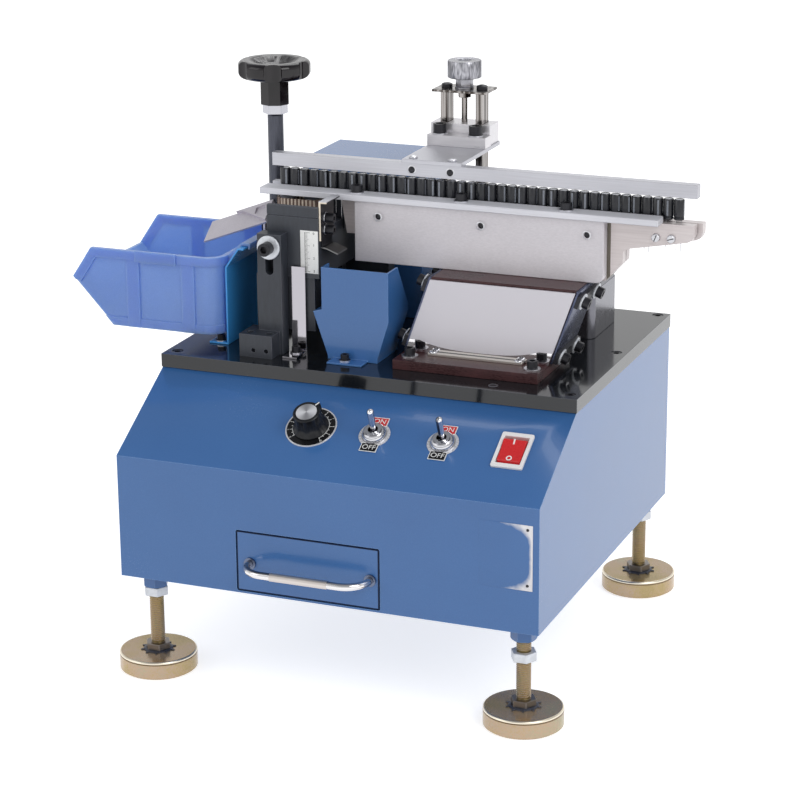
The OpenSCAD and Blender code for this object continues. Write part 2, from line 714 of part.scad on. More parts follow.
module head_screws() {
    color(black) machine() {
        translate([lock_x, clamp_y - 13.5, lock_z]) rotate([90, 0, 0]) cap_screw(10, 8, 5);
        rod_y(lock_x, clamp_y - 13.5, head_y + 12, lock_z, 6 - 2 * run);
        for (z = [head_z + 36.3, head_z + 45.3]) {
            translate([head_x1 + 1.5, head_y + 10, z]) rotate([0, 90, 0]) washer_screw(7, 6.5, 3, 8.4);
            rod_x(head_x1 - 10, head_x1 + 1.5, head_y + 10, z, 4 - 2 * run);
        }
    }
}
module lock_washer() {
    color(chrome) machine() difference() {
        rod_y(lock_x, clamp_y - 13.5, clamp_y - 11.8, lock_z, 18.4);
        rod_y(lock_x, clamp_y - 20, clamp_y, lock_z, 6);
    }
}

module belt_loop(r) {
    for (x = [shaft_x, idler_x]) translate([x, belt_y]) circle(r);
    translate([idler_x, belt_y - r]) square([idler_dx, 2 * r]);
}
module feed_belt() {
    n = floor(idler_dx / 3);
    color(tan_col) machine() translate([0, 0, belt_z0]) linear_extrude(belt_z1 - belt_z0) difference() {
        union() {
            belt_loop(belt_r);
            for (i = [0:n], s = [-1, 1]) translate([idler_x + 3 * i + 0.4, belt_y + s * (belt_r - 0.1)])
                square([1.5, 1.7], center = true);
            for (i = [1:5]) {
                translate([idler_x, belt_y]) rotate(90 + 30 * i) translate([belt_r - 0.9, -0.75]) square([1.7, 1.5]);
                translate([shaft_x, belt_y]) rotate(-90 + 30 * i) translate([belt_r - 0.9, -0.75]) square([1.7, 1.5]);
            }
        }
        belt_loop(belt_r - 1.2);
    }
}
module drive_pulley() {
    color(steel) machine() {
        rod_z(shaft_x, belt_y, belt_z0 - 0.3, belt_z1 + 0.4, 2 * pulley_r);
        rod_z(shaft_x, belt_y, head_z - 12, belt_z0, 6);
    }
}
module cutter_disc() {
    color(chrome) machine() difference() {
        rod_z(shaft_x, belt_y, head_top + 0.7, head_top + 2.2, 2 * disc_r);
        rod_z(shaft_x, belt_y, head_top, head_top + 3, 6);
    }
}
module idler_pulley() {
    color(steel) machine() difference() {
        union() {
            rod_z(idler_x, belt_y, belt_z0 - 0.3, belt_z1 + 0.4, 2 * pulley_r);
            rod_z(idler_x, belt_y, head_top + 0.2, belt_z0, 9);
        }
        rod_z(idler_x, belt_y, head_top - 1, belt_z1 + 1, 6 + 2 * run);
    }
}
module feed_motor() {
    color(steel) machine() difference() {
        union() {
            rod_z(shaft_x, belt_y, motor_z, head_z, 36);
            rod_z(shaft_x, belt_y, motor_z - 1.5, motor_z, 12);
        }
        rod_z(shaft_x, belt_y, head_z - 14, head_z + 1, 6 + 2 * run);
    }
}
module head_stand() {
    color(black) machine() difference() {
        union() {
            box([-110, stand_y, deck], [-30, stand_y + 12, head_cap - 2]);
            box([-88, head_y1 - 7.5, deck + 6], [-66, stand_y, head_top - 2]);
            box([hand_x - 9.5, hand_y - 10, deck], [hand_x + 12, stand_y, deck + 12]);
        }
        rod_z(hand_x, hand_y, deck + 2, deck + 13, 8 + 2 * run);
    }
}
module hand_screw() {
    color(black) machine() translate([hand_x, hand_y, 0]) {
        rod_z(0, 0, deck + 2, deck + 12.1, 8);
        rod_z(0, 0, deck + 12.1, deck + 15, sleeve_d);
        rod_z(0, 0, deck + 15, arm_z1 + 2, screw_d);
        rod_z(0, 0, arm_z1 + 2, hand_top - 42.8, sleeve_d);
        translate([0, 0, hand_top - 42.8]) cylinder(d1 = sleeve_d, d2 = sleeve_d - 3, h = 1.5);
        translate([0, 0, hand_top - 41.3]) rotate(22) cylinder(d = nut_af / cos(30), h = 7.3, $fn = 6);
    }
}
module hand_knob() {
    r = hand_d / 2;
    color(black) machine() translate([hand_x, hand_y, hand_top]) difference() {
        union() {
            translate([0, 0, -34]) rotate(44.5) cylinder(d = 23.2, h = 21, $fn = 8);
            rotate_extrude() difference() {
                union() {
                    translate([0, -13.5]) square([r - 5, 13.5]);
                    translate([0, -8.5]) square([r, 4.5]);
                    translate([r - 5, -8.5]) circle(5);
                    translate([r - 4, -4]) circle(4);
                }
                translate([-9, -50]) square([9, 90]);
            }
        }
        for (i = [0:5]) rotate(-68 + 60 * i) translate([r + 5.2, 0, -30]) cylinder(d = 18.5, h = 40);
        translate([0, 0, -5]) cylinder(d1 = 22, d2 = 40, h = 5.1);
    }
}
module drive_cover() {
    z1 = deck + cover_h;
    color(blue) machine() difference() {
        box([-115, 235, deck], [-14, cab_d - 7, z1]);
        box([-115 + sheet, 235 + sheet, deck - 1], [-14 - sheet, cab_d - 7 - sheet, z1 - sheet]);
    }
}

// Feeder
module leaning(z0, z1, y0, y1) {
    xz(y0, y1) polygon([[end_x(-1, z0), z0], [end_x(1, z0), z0], [end_x(1, z1), z1], [end_x(-1, z1), z1]]);
}
module feeder_base() {
    color(brown) machine() {
        box([feed_x, feed_front, deck], [feed_x + feed_l, feed_y1, feed_z0]);
        leaning(feed_z0, low_z1, feed_y0, feed_y1);
    }
}
module feeder_top() {
    color(brown) machine() leaning(top_z0, feed_z1, feed_y0 + 0.5, feed_y1);
}
module feeder_cover() {
    color(chrome) machine() {
        leaning(feed_z0, feed_z1 - 1.8, cover_y, feed_y0);
        box([feed_x + 21, cover_y - 5.5, feed_z0], [feed_x + feed_l - 18, cover_y, feed_z0 + 2]);
    }
}
module feeder_springs() {
    z0 = feed_z0 + 1.2;
    z1 = feed_z1 - 0.8;
    dx = leaf_t * cos(lean);
    dz = leaf_t * sin(lean);
    color(steel) machine() xz(leaf_y0, feed_y1) {
        polygon([[end_x(1, z0), z0], [end_x(1, z1), z1], [end_x(1, z1) + dx, z1 - dz], [end_x(1, z0) + dx, z0 - dz]]);
        polygon([[end_x(-1, z0), z0], [end_x(-1, z1), z1], [end_x(-1, z1) - dx, z1 + dz],
            [end_x(-1, z0) - dx, z0 + dz]]);
    }
}
module drive_coil() {
    x = feed_x + feed_l / 2 + 10;
    y = (feed_y0 + feed_y1) / 2;
    color(black) machine() {
        rod_z(x, y, low_z1, top_z0 - 8, 14);
        difference() {
            rod_z(x, y, low_z1, top_z0 - 10, 36);
            rod_z(x, y, low_z1 - 1, top_z0, 14);
        }
    }
}
module armature() {
    x = feed_x + feed_l / 2 + 10;
    y = (feed_y0 + feed_y1) / 2;
    color(steel) machine() box([x - 22, y - 12, top_z0 - 6], [x + 22, y + 12, top_z0]);
}

// Track
module track_beam() {
    color(alu) machine() difference() {
        box([beam_x0, beam_y0, feed_z1], [beam_x1, beam_y1, track_z1]);
        translate([beam_x1 - 6, 0, feed_z1 + 6]) difference() {
            box([0, 0, -7], [7, 200, 0]);
            rod_y(0, 0, 200, 0, 12);
        }
    }
}
module track_profile(x1) {
    polygon([[-50.2, track_z1], [-50.2, track_z1 - 2.3], [-46, feed_z1 + 19], [beam_x0, feed_z1 + 19],
        [beam_x0, feed_z1], [beam_x1 - 1, feed_z1], [168, feed_z1 + 9.5], [172.7, feed_z1 + 14.5],
        [172.7, feed_z1 + 23.5], [178.4, feed_z1 + 26.2], [x1 - 5, feed_z1 + 34.2], [x1 - 1.5, feed_z1 + 36],
        [x1, feed_z1 + 39.5], [x1, track_z1]]);
}
module track_plates() {
    color(tan_col) machine() difference() {
        union() {
            xz(beam_y1, plate_y) track_profile(track_x1 - 3.8);
            xz(plate_y1, feed_y1) track_profile(track_x1);
            box([0, plate_y, feed_z1], [150, plate_y1, feed_z1 + 12]);
        }
        for (x = [197.5, 209]) rod_y(x, beam_y1 - 1, plate_y + 0.1, feed_z1 + 36.3, 6);
    }
}
module track_rails() {
    color(alu) machine() {
        gap = cap_d / 2 + 0.3;
        difference() {
            box([rail_x0, beam_y0 - 3, track_z1], [rail_x1, slot_y - gap, rail_z1]);
            translate([rail_x1 - 3, slot_y - gap - 3, 0]) difference() {
                box([0, 0, track_z1 - 1], [4, 4, rail_z1 + 1]);
                rod_z(0, 0, track_z1 - 2, rail_z1 + 2, 6);
            }
        }
        box([rail_x0, slot_y + gap, track_z1], [rail_x1 + 2, feed_y1 + 1.5, rail_z1]);
    }
}
module track_screws() {
    color(black) machine() {
        for (x = [-36, 48, 130]) translate([x, beam_y0 + 5.5, rail_z1]) washer_screw(8.5, 5, 4, 11);
        for (x = [-16.3, 65.7, 148]) translate([x, beam_y0, track_z1 - 11]) rotate([90, 0, 0]) pan_screw(4.8, 0.8);
        spring_bolts(feed_z1 - 8.5);
    }
}
module capacitor_row() {
    color(black) machine() for (i = [0:cap_n - 1]) {
        x = cap_x0 + i * cap_pitch;
        tail = x < cut_x ? head_top + 3 : feed_z1 + 22.5 + 2.4 * ((3 * i) % 4);
        rod_z(x, slot_y, cap_z0, cap_z1, cap_d);
        for (s = [-1, 1]) rod_z(x + s * 1.75, slot_y, tail, cap_z0 + 0.1, 0.6);
    }
}

// Guide over the track
module rear_block() {
    x0 = -8;
    x1 = 130.3;
    y0 = post_y - 12.5;
    y1 = cab_d - 31;
    color(chrome) machine() translate([(x0 + x1) / 2, (y0 + y1) / 2, deck])
        linear_extrude(block_z - deck) round_box(x1 - x0, y1 - y0, 6);
}
module guide_frame() {
    color(steel) machine() {
        for (s = [-1, 1]) translate([post_x + s * post_span / 2, post_y, 0])
            box([-post_w / 2, -post_dp / 2, block_z], [post_w / 2, post_dp / 2, cap_under]);
        difference() {
            box([post_x - 22, post_y - 13, cap_under], [post_x + 22, post_y + 13, cap_under + cap_t]);
            rod_z(post_x, post_y, cap_under - 1, cap_under + 4, lead_d + 2 * run);
        }
    }
}
module adjuster_knob() {
    color(alu) machine() translate([post_x, post_y, cap_under + cap_t]) difference() {
        union() {
            rod_z(0, 0, 0.1, 1.3, 14.5);
            hex_z(0, 0, 1.3, 8.6, 12);
            rod_z(0, 0, 8.6, 21.7, adj_d);
        }
        rod_z(0, 0, 20.6, 23, 10);
    }
}
module lead_screw() {
    color(steel) machine() {
        rod_z(post_x, post_y, car_z0 + 2, cap_under + cap_t + 0.1, lead_d);
        hex_z(post_x, post_y, cap_under - 5.1, cap_under - 0.1, 9);
    }
}
module carriage_block() {
    color(steel) machine() difference() {
        union() {
            box([post_x - 24, post_y - 9.5, car_z0], [post_x + 24, post_y + 11, car_z1]);
            box([post_x - 22.5, post_y - 22, car_z0], [post_x + 25, post_y - 9.5, car_z0 + 8.5]);
        }
        for (s = [-1, 1]) translate([post_x + s * post_span / 2, post_y, 0])
            box([-post_w / 2 - slide, -post_dp / 2 - slide, 0], [post_w / 2 + slide, post_dp / 2 + slide, 400]);
        rod_z(post_x, post_y, car_z0 - 1, car_z1 + 1, lead_d + 2 * run);
    }
}
module guide_arm() {
    color(steel) machine() {
        difference() {
            box([post_x - 22.5, slot_y - 4, bar_z1], [post_x + 25, post_y + 11, car_z0]);
            for (s = [-1, 1]) translate([post_x + s * post_span / 2, post_y, 0])
                box([-post_w / 2 - slide, -post_dp / 2 - slide, 0], [post_w / 2 + slide, post_dp / 2 + slide, 400]);
            rod_z(post_x, post_y, bar_z1 - 1, car_z0 + 1, 6);
        }
        box([bar_x0, slot_y - 3, bar_z0], [bar_x1, slot_y + 5, bar_z1]);
    }
}
module guide_screws() {
    color(black) machine() {
        for (x = [-14.2, 15]) translate([post_x + x, post_y - 16, car_z0 + 8.5]) washer_screw(10.4, 7, 5.5, 12);
        for (x = [-15.4, 16]) translate([post_x + x, slot_y + 1.7, car_z0]) pan_screw(6.5, 2);
        for (x = [-15, 15.7]) translate([post_x + x, slot_y - 3, bar_z0 + bar_h / 2]) rotate([90, 0, 0])
            pan_screw(5, 1.4);
    }
}

cabinet_shell();
base_panels();
top_plate();
base_screws();
foot_nuts();
foot_front_left();
foot_front_right();
foot_rear_left();
foot_rear_right();
drawer_tray();
drawer_front();
drawer_handle();
drawer_runners();
legend_plates();
dial_knob();
dial_pot();
toggle_bodies();
toggle_lever_left();
toggle_lever_right();
rocker_housing();
rocker_button();
power_inlet();
control_board();
lead_hopper();
parts_bin();
bin_bracket();
outlet_chute();
clamp_post();
length_pointer();
head_block();
guard_plate();
head_screws();
lock_washer();
feed_belt();
drive_pulley();
cutter_disc();
idler_pulley();
feed_motor();
head_stand();
hand_screw();
hand_knob();
drive_cover();
feeder_base();
feeder_springs();
feeder_cover();
drive_coil();
armature();
feeder_top();
track_beam();
track_plates();
track_rails();
track_screws();
capacitor_row();
rear_block();
guide_frame();
adjuster_knob();
lead_screw();
carriage_block();
guide_screws();
guide_arm();
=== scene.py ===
# %% [markdown]
# A component lead cutting machine: a blue sheet-metal cabinet on four levelling feet, a cutting head, a
# vibrating feeder and a track full of capacitors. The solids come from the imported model, so this lesson only
# dresses them. The frame is loaded first and its box is kept.

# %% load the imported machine
import bmesh
import bpy
from math import atan, atan2, copysign, cos, degrees, pi, radians, sin, tan
from mathutils import Matrix, Vector


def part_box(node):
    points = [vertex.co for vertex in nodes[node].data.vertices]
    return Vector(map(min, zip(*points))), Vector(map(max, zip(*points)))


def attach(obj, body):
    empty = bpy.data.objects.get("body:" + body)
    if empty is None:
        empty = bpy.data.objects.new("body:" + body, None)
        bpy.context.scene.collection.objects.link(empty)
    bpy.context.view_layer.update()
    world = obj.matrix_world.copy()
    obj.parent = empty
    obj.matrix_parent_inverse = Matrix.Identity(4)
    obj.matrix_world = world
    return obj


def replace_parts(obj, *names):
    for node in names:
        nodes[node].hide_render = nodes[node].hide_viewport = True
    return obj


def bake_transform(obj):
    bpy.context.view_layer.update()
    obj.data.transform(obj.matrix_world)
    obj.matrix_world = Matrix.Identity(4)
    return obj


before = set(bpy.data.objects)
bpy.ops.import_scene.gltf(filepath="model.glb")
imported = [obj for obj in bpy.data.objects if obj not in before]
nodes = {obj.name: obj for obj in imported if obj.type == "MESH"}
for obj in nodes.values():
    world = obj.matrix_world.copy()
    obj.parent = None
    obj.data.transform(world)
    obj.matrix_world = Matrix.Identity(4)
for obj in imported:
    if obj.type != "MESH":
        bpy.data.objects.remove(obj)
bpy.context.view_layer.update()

# %% [markdown]
# The drawings of the machine measure from the middle of the cabinet front, in millimetres. The cabinet shell
# tells where that point is, so every later number can be a drawing number.

# %% drawing millimetres to the frame
MM = 0.001
shell_low, shell_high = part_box("cabinet_shell")
home = Vector(((shell_low.x + shell_high.x) / 2, shell_low.y, shell_low.z))
into_frame = Matrix.Translation(home) @ Matrix.Scale(MM, 4)
print("drawing origin", [round(v, 4) for v in home])

# %% [markdown]
# The photograph was taken with a long lens from the front right, a little above the machine. Angles and place
# were solved from its straight edges. The camera is a turned frame of right, up and back.

# %% camera
def new_object(name, data):
    made = bpy.data.objects.new(name, data)
    bpy.context.scene.collection.objects.link(made)
    return made


AZIMUTH, ELEVATION, ROLL = (radians(a) for a in (21.976, 17.751, -0.472))
EYE = Vector((704.4, -1593.9, 713.3))
LENS, SENSOR = 116.15, 36
back = Vector((sin(AZIMUTH) * cos(ELEVATION), -cos(AZIMUTH) * cos(ELEVATION), sin(ELEVATION)))
level = Vector((cos(AZIMUTH), sin(AZIMUTH), 0))
rise = back.cross(level)
side = level * cos(ROLL) + rise * sin(ROLL)
top = rise * cos(ROLL) - level * sin(ROLL)
camera = new_object("camera", bpy.data.cameras.new("camera"))
turned = Matrix((side, top, back)).transposed().to_4x4()
camera.matrix_world = Matrix.Translation(into_frame @ EYE) @ turned
camera.data.lens, camera.data.sensor_width = LENS, SENSOR
camera.data.clip_start, camera.data.clip_end = 0.05, 60
bpy.context.scene.camera = camera
print("camera at", [round(v, 3) for v in camera.location])

# %% [markdown]
# All finishes are node trees. Three small helpers keep them readable: one fills inputs with numbers or links,
# one makes a node with its settings and inputs, one makes a sum.

# %% node helpers
def fill(made, inputs):
    """Gives inputs of a node a link or a plain value."""
    for socket, value in inputs.items():
        if isinstance(value, bpy.types.NodeSocket):
            made.id_data.links.new(value, made.inputs[socket])
        else:
            made.inputs[socket].default_value = value


def node(tree, kind, inputs, **settings):
    """A new node with its settings and its inputs."""
    made = tree.nodes.new(kind)
    for key, value in settings.items():
        setattr(made, key, value)
    fill(made, inputs)
    return made


def calc(operation, first, second=0.0):
    """A sum of two values, of which at least one is a socket."""
    tree = (first if isinstance(first, bpy.types.NodeSocket) else second).id_data
    return node(tree, "ShaderNodeMath", {0: first, 1: second}, operation=operation).outputs[0]


print("node helpers: fill, node, calc")

# %% [markdown]
# A catalogue picture stands on white paper. A wide floor that glows a little for the eye and for reflections
# stays white but still takes the shadow of the feet. The Standard view transform keeps colours as written.

# %% floor
bpy.context.scene.view_settings.view_transform = "Standard"
PAPER_TONE, PAPER_GLOW, FLOOR_SIZE = (0.75, 0.75, 0.75, 1), 0.65, 12


def seen_ray(tree):
    """One where the ray comes from the eye, a mirror or glass."""
    ray = tree.nodes.new("ShaderNodeLightPath").outputs
    seen = calc("MAXIMUM", ray["Is Camera Ray"], ray["Is Glossy Ray"])
    return calc("MAXIMUM", seen, ray["Is Transmission Ray"])


paper = bpy.data.materials.new("white_paper")
paper.use_nodes = True
tree = paper.node_tree
tree.nodes.clear()
matt = node(tree, "ShaderNodeBsdfDiffuse", {"Color": PAPER_TONE})
glow = node(tree, "ShaderNodeEmission", {"Strength": calc("MULTIPLY", seen_ray(tree), PAPER_GLOW)})
both = node(tree, "ShaderNodeAddShader", {0: matt.outputs[0], 1: glow.outputs[0]})
node(tree, "ShaderNodeOutputMaterial", {"Surface": both.outputs[0]})
bm = bmesh.new()
bmesh.ops.create_grid(bm, x_segments=4, y_segments=4, size=FLOOR_SIZE)
floor_mesh = bpy.data.meshes.new("floor")
bm.to_mesh(floor_mesh)
bm.free()
floor = new_object("floor", floor_mesh)
floor.data.materials.append(paper)
print("floor", floor.dimensions[:])

# %% [markdown]
# The surround is white at the horizon and greyer overhead, so upright metal looks bright and tops calmer.
# Three large soft lamps stand right, left and behind, at a level where a colour renders about as written.

# %% light
WHITE, OVERHEAD = (1, 1, 1, 1), (0.33, 0.34, 0.36, 1)
LIT_LEVEL, SEEN_LEVEL = 1.14, 1.0


def place_of(tree, kind="Object"):
    """The X, Y and Z of a coordinate."""
    return node(tree, "ShaderNodeSeparateXYZ", {0: tree.nodes.new("ShaderNodeTexCoord").outputs[kind]}).outputs


def ramp(value, *stops):
    """A colour ramp with a place and a colour for each stop."""
    made = node(value.id_data, "ShaderNodeValToRGB", {"Fac": value})
    for element, (spot, colour) in zip(made.color_ramp.elements, stops):
        element.position, element.color = spot, colour
    return made


def spread(value, low, high, start=0.0, end=1.0):
    """Maps the range low to high of a value to start and end."""
    inputs = {"Value": value, "From Min": low, "From Max": high, "To Min": start, "To Max": end}
    return node(value.id_data, "ShaderNodeMapRange", inputs).outputs[0]


world = bpy.data.worlds.new("studio")
bpy.context.scene.world = world
world.use_nodes = True
tree = world.node_tree
heights = ramp(place_of(tree, "Generated")["Z"], (0.15, WHITE), (0.8, OVERHEAD))
fill(tree.nodes["Background"], {"Color": heights.outputs["Color"],
                                "Strength": spread(seen_ray(tree), 0, 1, LIT_LEVEL, SEEN_LEVEL)})


def soft_lamp(name, place, aim, power, width=1.6):
    lamp = new_object(name, bpy.data.lights.new(name, "AREA"))
    lamp.data.energy, lamp.data.size = power, width
    lamp.location = place
    lamp.rotation_mode = "QUATERNION"
    lamp.rotation_quaternion = (Vector(aim) - Vector(place)).to_track_quat("-Z", "Y")
    return lamp


lamps = [soft_lamp("lamp_right", (1.9, -1.2, 2.1), (0, 0, 0.2), 28),
         soft_lamp("lamp_left", (-1.8, -1.6, 1.5), (0, 0, 0.2), 8),
         soft_lamp("lamp_back", (-0.3, 1.8, 2.2), (0, 0, 0.3), 14)]
print("lamps", [(lamp.name, lamp.data.energy) for lamp in lamps])

# %% [markdown]
# Every real finish varies: paint has a fine peel, ground steel has lines, plastic a cloudy grain. One builder
# lays a fine and a broad noise on Object coordinates, which choose between two tones and two roughness values
# and bump the surface. A stretch turns the grain into brushing lines.

# %% finish builder
FINE_SHARE, BROAD_SHARE, DARK_BELOW, LIGHT_ABOVE = 0.45, 0.55, 0.36, 0.64
GLOSS_RANGE, COAT_ROUGH = (0.3, 0.7), 0.06
look = {}


def tone(red, green, blue):
    """A colour written 0 to 255, as a picture gives it, for a shader."""
    flat = [v / 255 for v in (red, green, blue)]
    return [v / 12.92 if v <= 0.04045 else ((v + 0.055) / 1.055) ** 2.4 for v in flat] + [1]


def noise(tree, size, stretch=(1, 1, 1), detail=5):
    place = tree.nodes.new("ShaderNodeTexCoord").outputs["Object"]
    place = node(tree, "ShaderNodeMapping", {"Vector": place, "Scale": stretch}).outputs["Vector"]
    return node(tree, "ShaderNodeTexNoise", {"Vector": place, "Scale": size, "Detail": detail}).outputs["Fac"]


def shader(finish):
    return finish.node_tree.nodes["Principled BSDF"]


def surface(name, dark, light, rough, metal=0.0, level=0.5, size=900, stretch=(1, 1, 1), patch=9,
            bump=0.06, depth=0.03, coat=0.0):
    finish = look[name] = bpy.data.materials.new(name)
    finish.use_nodes = True
    tree = finish.node_tree
    fine, broad = noise(tree, size, stretch), noise(tree, patch, (1, 1, 1), 3)
    blend = calc("ADD", calc("MULTIPLY", fine, FINE_SHARE), calc("MULTIPLY", broad, BROAD_SHARE))
    tones = ramp(blend, (DARK_BELOW, tone(*dark)), (LIGHT_ABOVE, tone(*light)))
    tones.name = "tones"
    relief = node(tree, "ShaderNodeBump", {"Strength": bump, "Distance": depth * MM, "Height": fine})
    fill(shader(finish), {
        "Metallic": metal, "Specular IOR Level": level, "Coat Weight": coat, "Coat Roughness": COAT_ROUGH,
        "Base Color": tones.outputs["Color"], "Roughness": spread(blend, *GLOSS_RANGE, *rough),
        "Normal": relief.outputs["Normal"]})
    return finish


print("finish builder ready")

# %% [markdown]
# The cabinet and its covers are folded sheet with a semi-gloss blue stove enamel. The enamel has a fine peel
# and a high sheen at flat angles, and its edges are painted paler as a highlight along each fold.

# %% enamel finishes
EDGE_BAND, EDGE_FLAT, EDGE_ROUND = 0.6, 0.99, 0.86
PAINT = dict(dark=(54, 99, 156), light=(60, 106, 164), rough=(0.22, 0.28), size=1400, bump=0.02,
             depth=0.02, coat=0.3)


def overlay(finish, socket, mask, value):
    """Puts a value over what feeds a shader socket, where a mask is one."""
    tree = finish.node_tree
    target = shader(finish).inputs[socket]
    under = target.links[0].from_socket if target.is_linked else target.default_value
    kind = "RGBA" if socket == "Base Color" else "FLOAT"
    mixed = node(tree, "ShaderNodeMix", {"Factor": mask, "A": under, "B": value}, data_type=kind)
    tree.links.new(mixed.outputs["Result"], target)


def edge_wear_and_highlight(finish, *colour):
    """Lays a second tone along edges: rubbed coat on the black finishes, a painted highlight on the enamels."""
    tree = finish.node_tree
    flat = tree.nodes.new("ShaderNodeNewGeometry").outputs["Normal"]
    rounded = node(tree, "ShaderNodeBevel", {"Radius": EDGE_BAND * MM}, samples=4).outputs["Normal"]
    lean = node(tree, "ShaderNodeVectorMath", {0: flat, 1: rounded}, operation="DOT_PRODUCT").outputs["Value"]
    overlay(finish, "Base Color", spread(lean, EDGE_FLAT, EDGE_ROUND), tone(*colour))


# the paler tone along the enamel edges is a painted highlight
edge_wear_and_highlight(surface("blue_enamel", **PAINT), 116, 156, 206)
edge_wear_and_highlight(surface(
    "bracket_enamel", (58, 144, 216), (68, 154, 224), (0.2, 0.3), size=1400, bump=0.02, depth=0.02), 80, 144, 206)
print("enamels", list(look)[-2:])

# %% [markdown]
# The deck plate and the cutting head are blackened steel. It is nearly black with a satin sheen, faint
# milling lines, and grey edges where the coat has rubbed off.

# %% black finishes
edge_wear_and_highlight(surface(
    "deck_black", (16, 18, 22), (26, 29, 33), (0.1, 0.16), level=0.4, size=500, stretch=(1, 8, 8), bump=0.01,
    depth=0.02, coat=0.35), 84, 88, 96)
edge_wear_and_highlight(surface(
    "tool_black", (40, 43, 50), (54, 58, 66), (0.34, 0.48), size=420, stretch=(1, 1, 0.2), bump=0.04), 96, 99, 108)
surface("screw_black", (22, 22, 25), (44, 44, 50), (0.28, 0.42), metal=0.4, size=1500, bump=0.08)
surface("knob_black", (16, 12, 15), (28, 22, 26), (0.06, 0.12), level=0.45, size=260, bump=0.02)
surface("moulded_black", (14, 15, 18), (25, 26, 30), (0.24, 0.34), level=0.3, size=1800)
surface(
    "sleeve_black", (62, 64, 72), (86, 88, 98), (0.32, 0.42), metal=0.6, size=300, stretch=(6, 6, 0.4), bump=0.04)
print("blacks", list(look)[-6:])

# %% [markdown]
# The bright parts are ground steel, machined aluminium, chrome and stainless sheet. They differ in the way
# the lines run and in how sharp the reflections are, so each gets its own stretch and roughness.

# %% bright finishes
surface("chrome", (196, 196, 200), (214, 214, 218), (0.06, 0.12), metal=1.0, size=40, bump=0.02, depth=0.05)
surface("mirror_steel", (172, 169, 175), (179, 176, 182), (0.05, 0.09), metal=1.0, size=5, bump=0.03, depth=0.6)
surface("cover_sheet", (198, 195, 201), (205, 202, 208), (0.3, 0.38), metal=0.3, size=5, bump=0.01, depth=0.2)
surface("ground_steel", (208, 206, 209), (223, 221, 224), (0.24, 0.36), metal=0.7, size=700, stretch=(0.06, 1, 1))
surface(
    "machined_alu", (199, 195, 199), (214, 210, 214), (0.5, 0.62), metal=0.4, size=1100, stretch=(0.4, 1, 1),
    bump=0.12, depth=0.04)
surface(
    "block_steel", (114, 114, 121), (126, 126, 133), (0.2, 0.28), metal=0.85, size=500, stretch=(0.4, 0.4, 1),
    patch=5, bump=0.02, depth=0.02)
surface(
    "spring_blue", (72, 77, 98), (96, 102, 126), (0.22, 0.32), metal=0.8, size=300, patch=30, bump=0.02, depth=0.02)
surface("bar_alu", (206, 206, 212), (222, 222, 228), (0.46, 0.58), metal=0.3, size=800, stretch=(0.03, 1, 1))
surface("guide_alu", (178, 178, 184), (196, 196, 202), (0.34, 0.46), metal=0.8, size=800, stretch=(0.03, 1, 1))
surface("stainless", (193, 184, 183), (211, 203, 202), (0.26, 0.38), metal=0.4, size=700, stretch=(0.05, 1, 1))
surface(
    "zinc_bright", (200, 203, 208), (222, 225, 230), (0.3, 0.45), metal=0.5, size=300, patch=120, bump=0.08,
    depth=0.04)
surface("plain_steel", (140, 140, 146), (172, 172, 178), (0.26, 0.4), metal=1.0, size=600, bump=0.08)
surface("plate_silver", (206, 206, 210), (222, 222, 226), (0.24, 0.34), metal=0.4, size=600, bump=0.04, depth=0.02)
surface("chute_sheet", (196, 191, 198), (214, 209, 216), (0.4, 0.55), metal=0.6, patch=30)
print("brights", list(look)[-14:])

# %% [markdown]
# Drawn and polished rods keep fine lines along their length. The noise is stretched along the rod and the
# ramp is narrow, so posts, levers, handle and knurled knob show their lines. On posts, levers and handle the
# strong dark and light streaks are also a painted reflection of a dark and light surround.

# %% streaked metals
def streaked(name, dark, light, rough, size, stretch, low, high):
    finish = surface(name, dark, light, rough, metal=1.0, size=size, stretch=stretch, bump=0.02, depth=0.02)
    tree = finish.node_tree
    tones = tree.nodes["tones"]
    tones.color_ramp.elements[0].position, tones.color_ramp.elements[1].position = low, high
    tree.links.new(noise(tree, size, stretch, 1), tones.inputs["Fac"])


# posts and lead screw, handle, levers: dark and light streaks paint reflections; on the knurled knob they are its
# texture
streaked("polished_bar", (72, 66, 62), (164, 159, 156), (0.12, 0.22), 420, (1, 1, 0.02), 0.42, 0.6)
streaked("handle_chrome", (112, 114, 120), (224, 222, 222), (0.06, 0.12), 340, (0.01, 0.02, 1), 0.4, 0.5)
streaked("lever_chrome", (60, 66, 80), (230, 230, 234), (0.06, 0.12), 1000, (1, 0.02, 0.02), 0.4, 0.54)
streaked("knurled_steel", (124, 124, 130), (184, 184, 190), (0.24, 0.36), 900, (1, 1, 0.2), 0.36, 0.64)
print("streaked", list(look)[-4:])

# %% [markdown]
# Yellow chromate on the feet is thin film colour: straw, gold, pink and a little green drift over the metal.
# A broad noise through a ramp of those tones gives the drift, and a fine noise the crystal sparkle.

# %% yellow zinc
yellow_zinc = surface("yellow_zinc", (160, 142, 108), (192, 178, 152), (0.16, 0.28), metal=0.7, patch=30)
film = yellow_zinc.node_tree.nodes["tones"].color_ramp
film.elements[0].position, film.elements[1].position = 0.3, 0.72
for spot, colour in ((0.42, (180, 160, 112)), (0.52, (190, 164, 142)), (0.62, (172, 168, 136))):
    film.elements.new(spot).color = tone(*colour)
print("film tones", len(film.elements))

# %% [markdown]
# The feeder plates are cloth-and-resin laminate, dark red brown with a waxy sheen and a faint drawn-out
# grain. The bin is thin polypropylene that lets some light through, so its shader scatters a little below the
# surface. The switches are glossy mouldings.

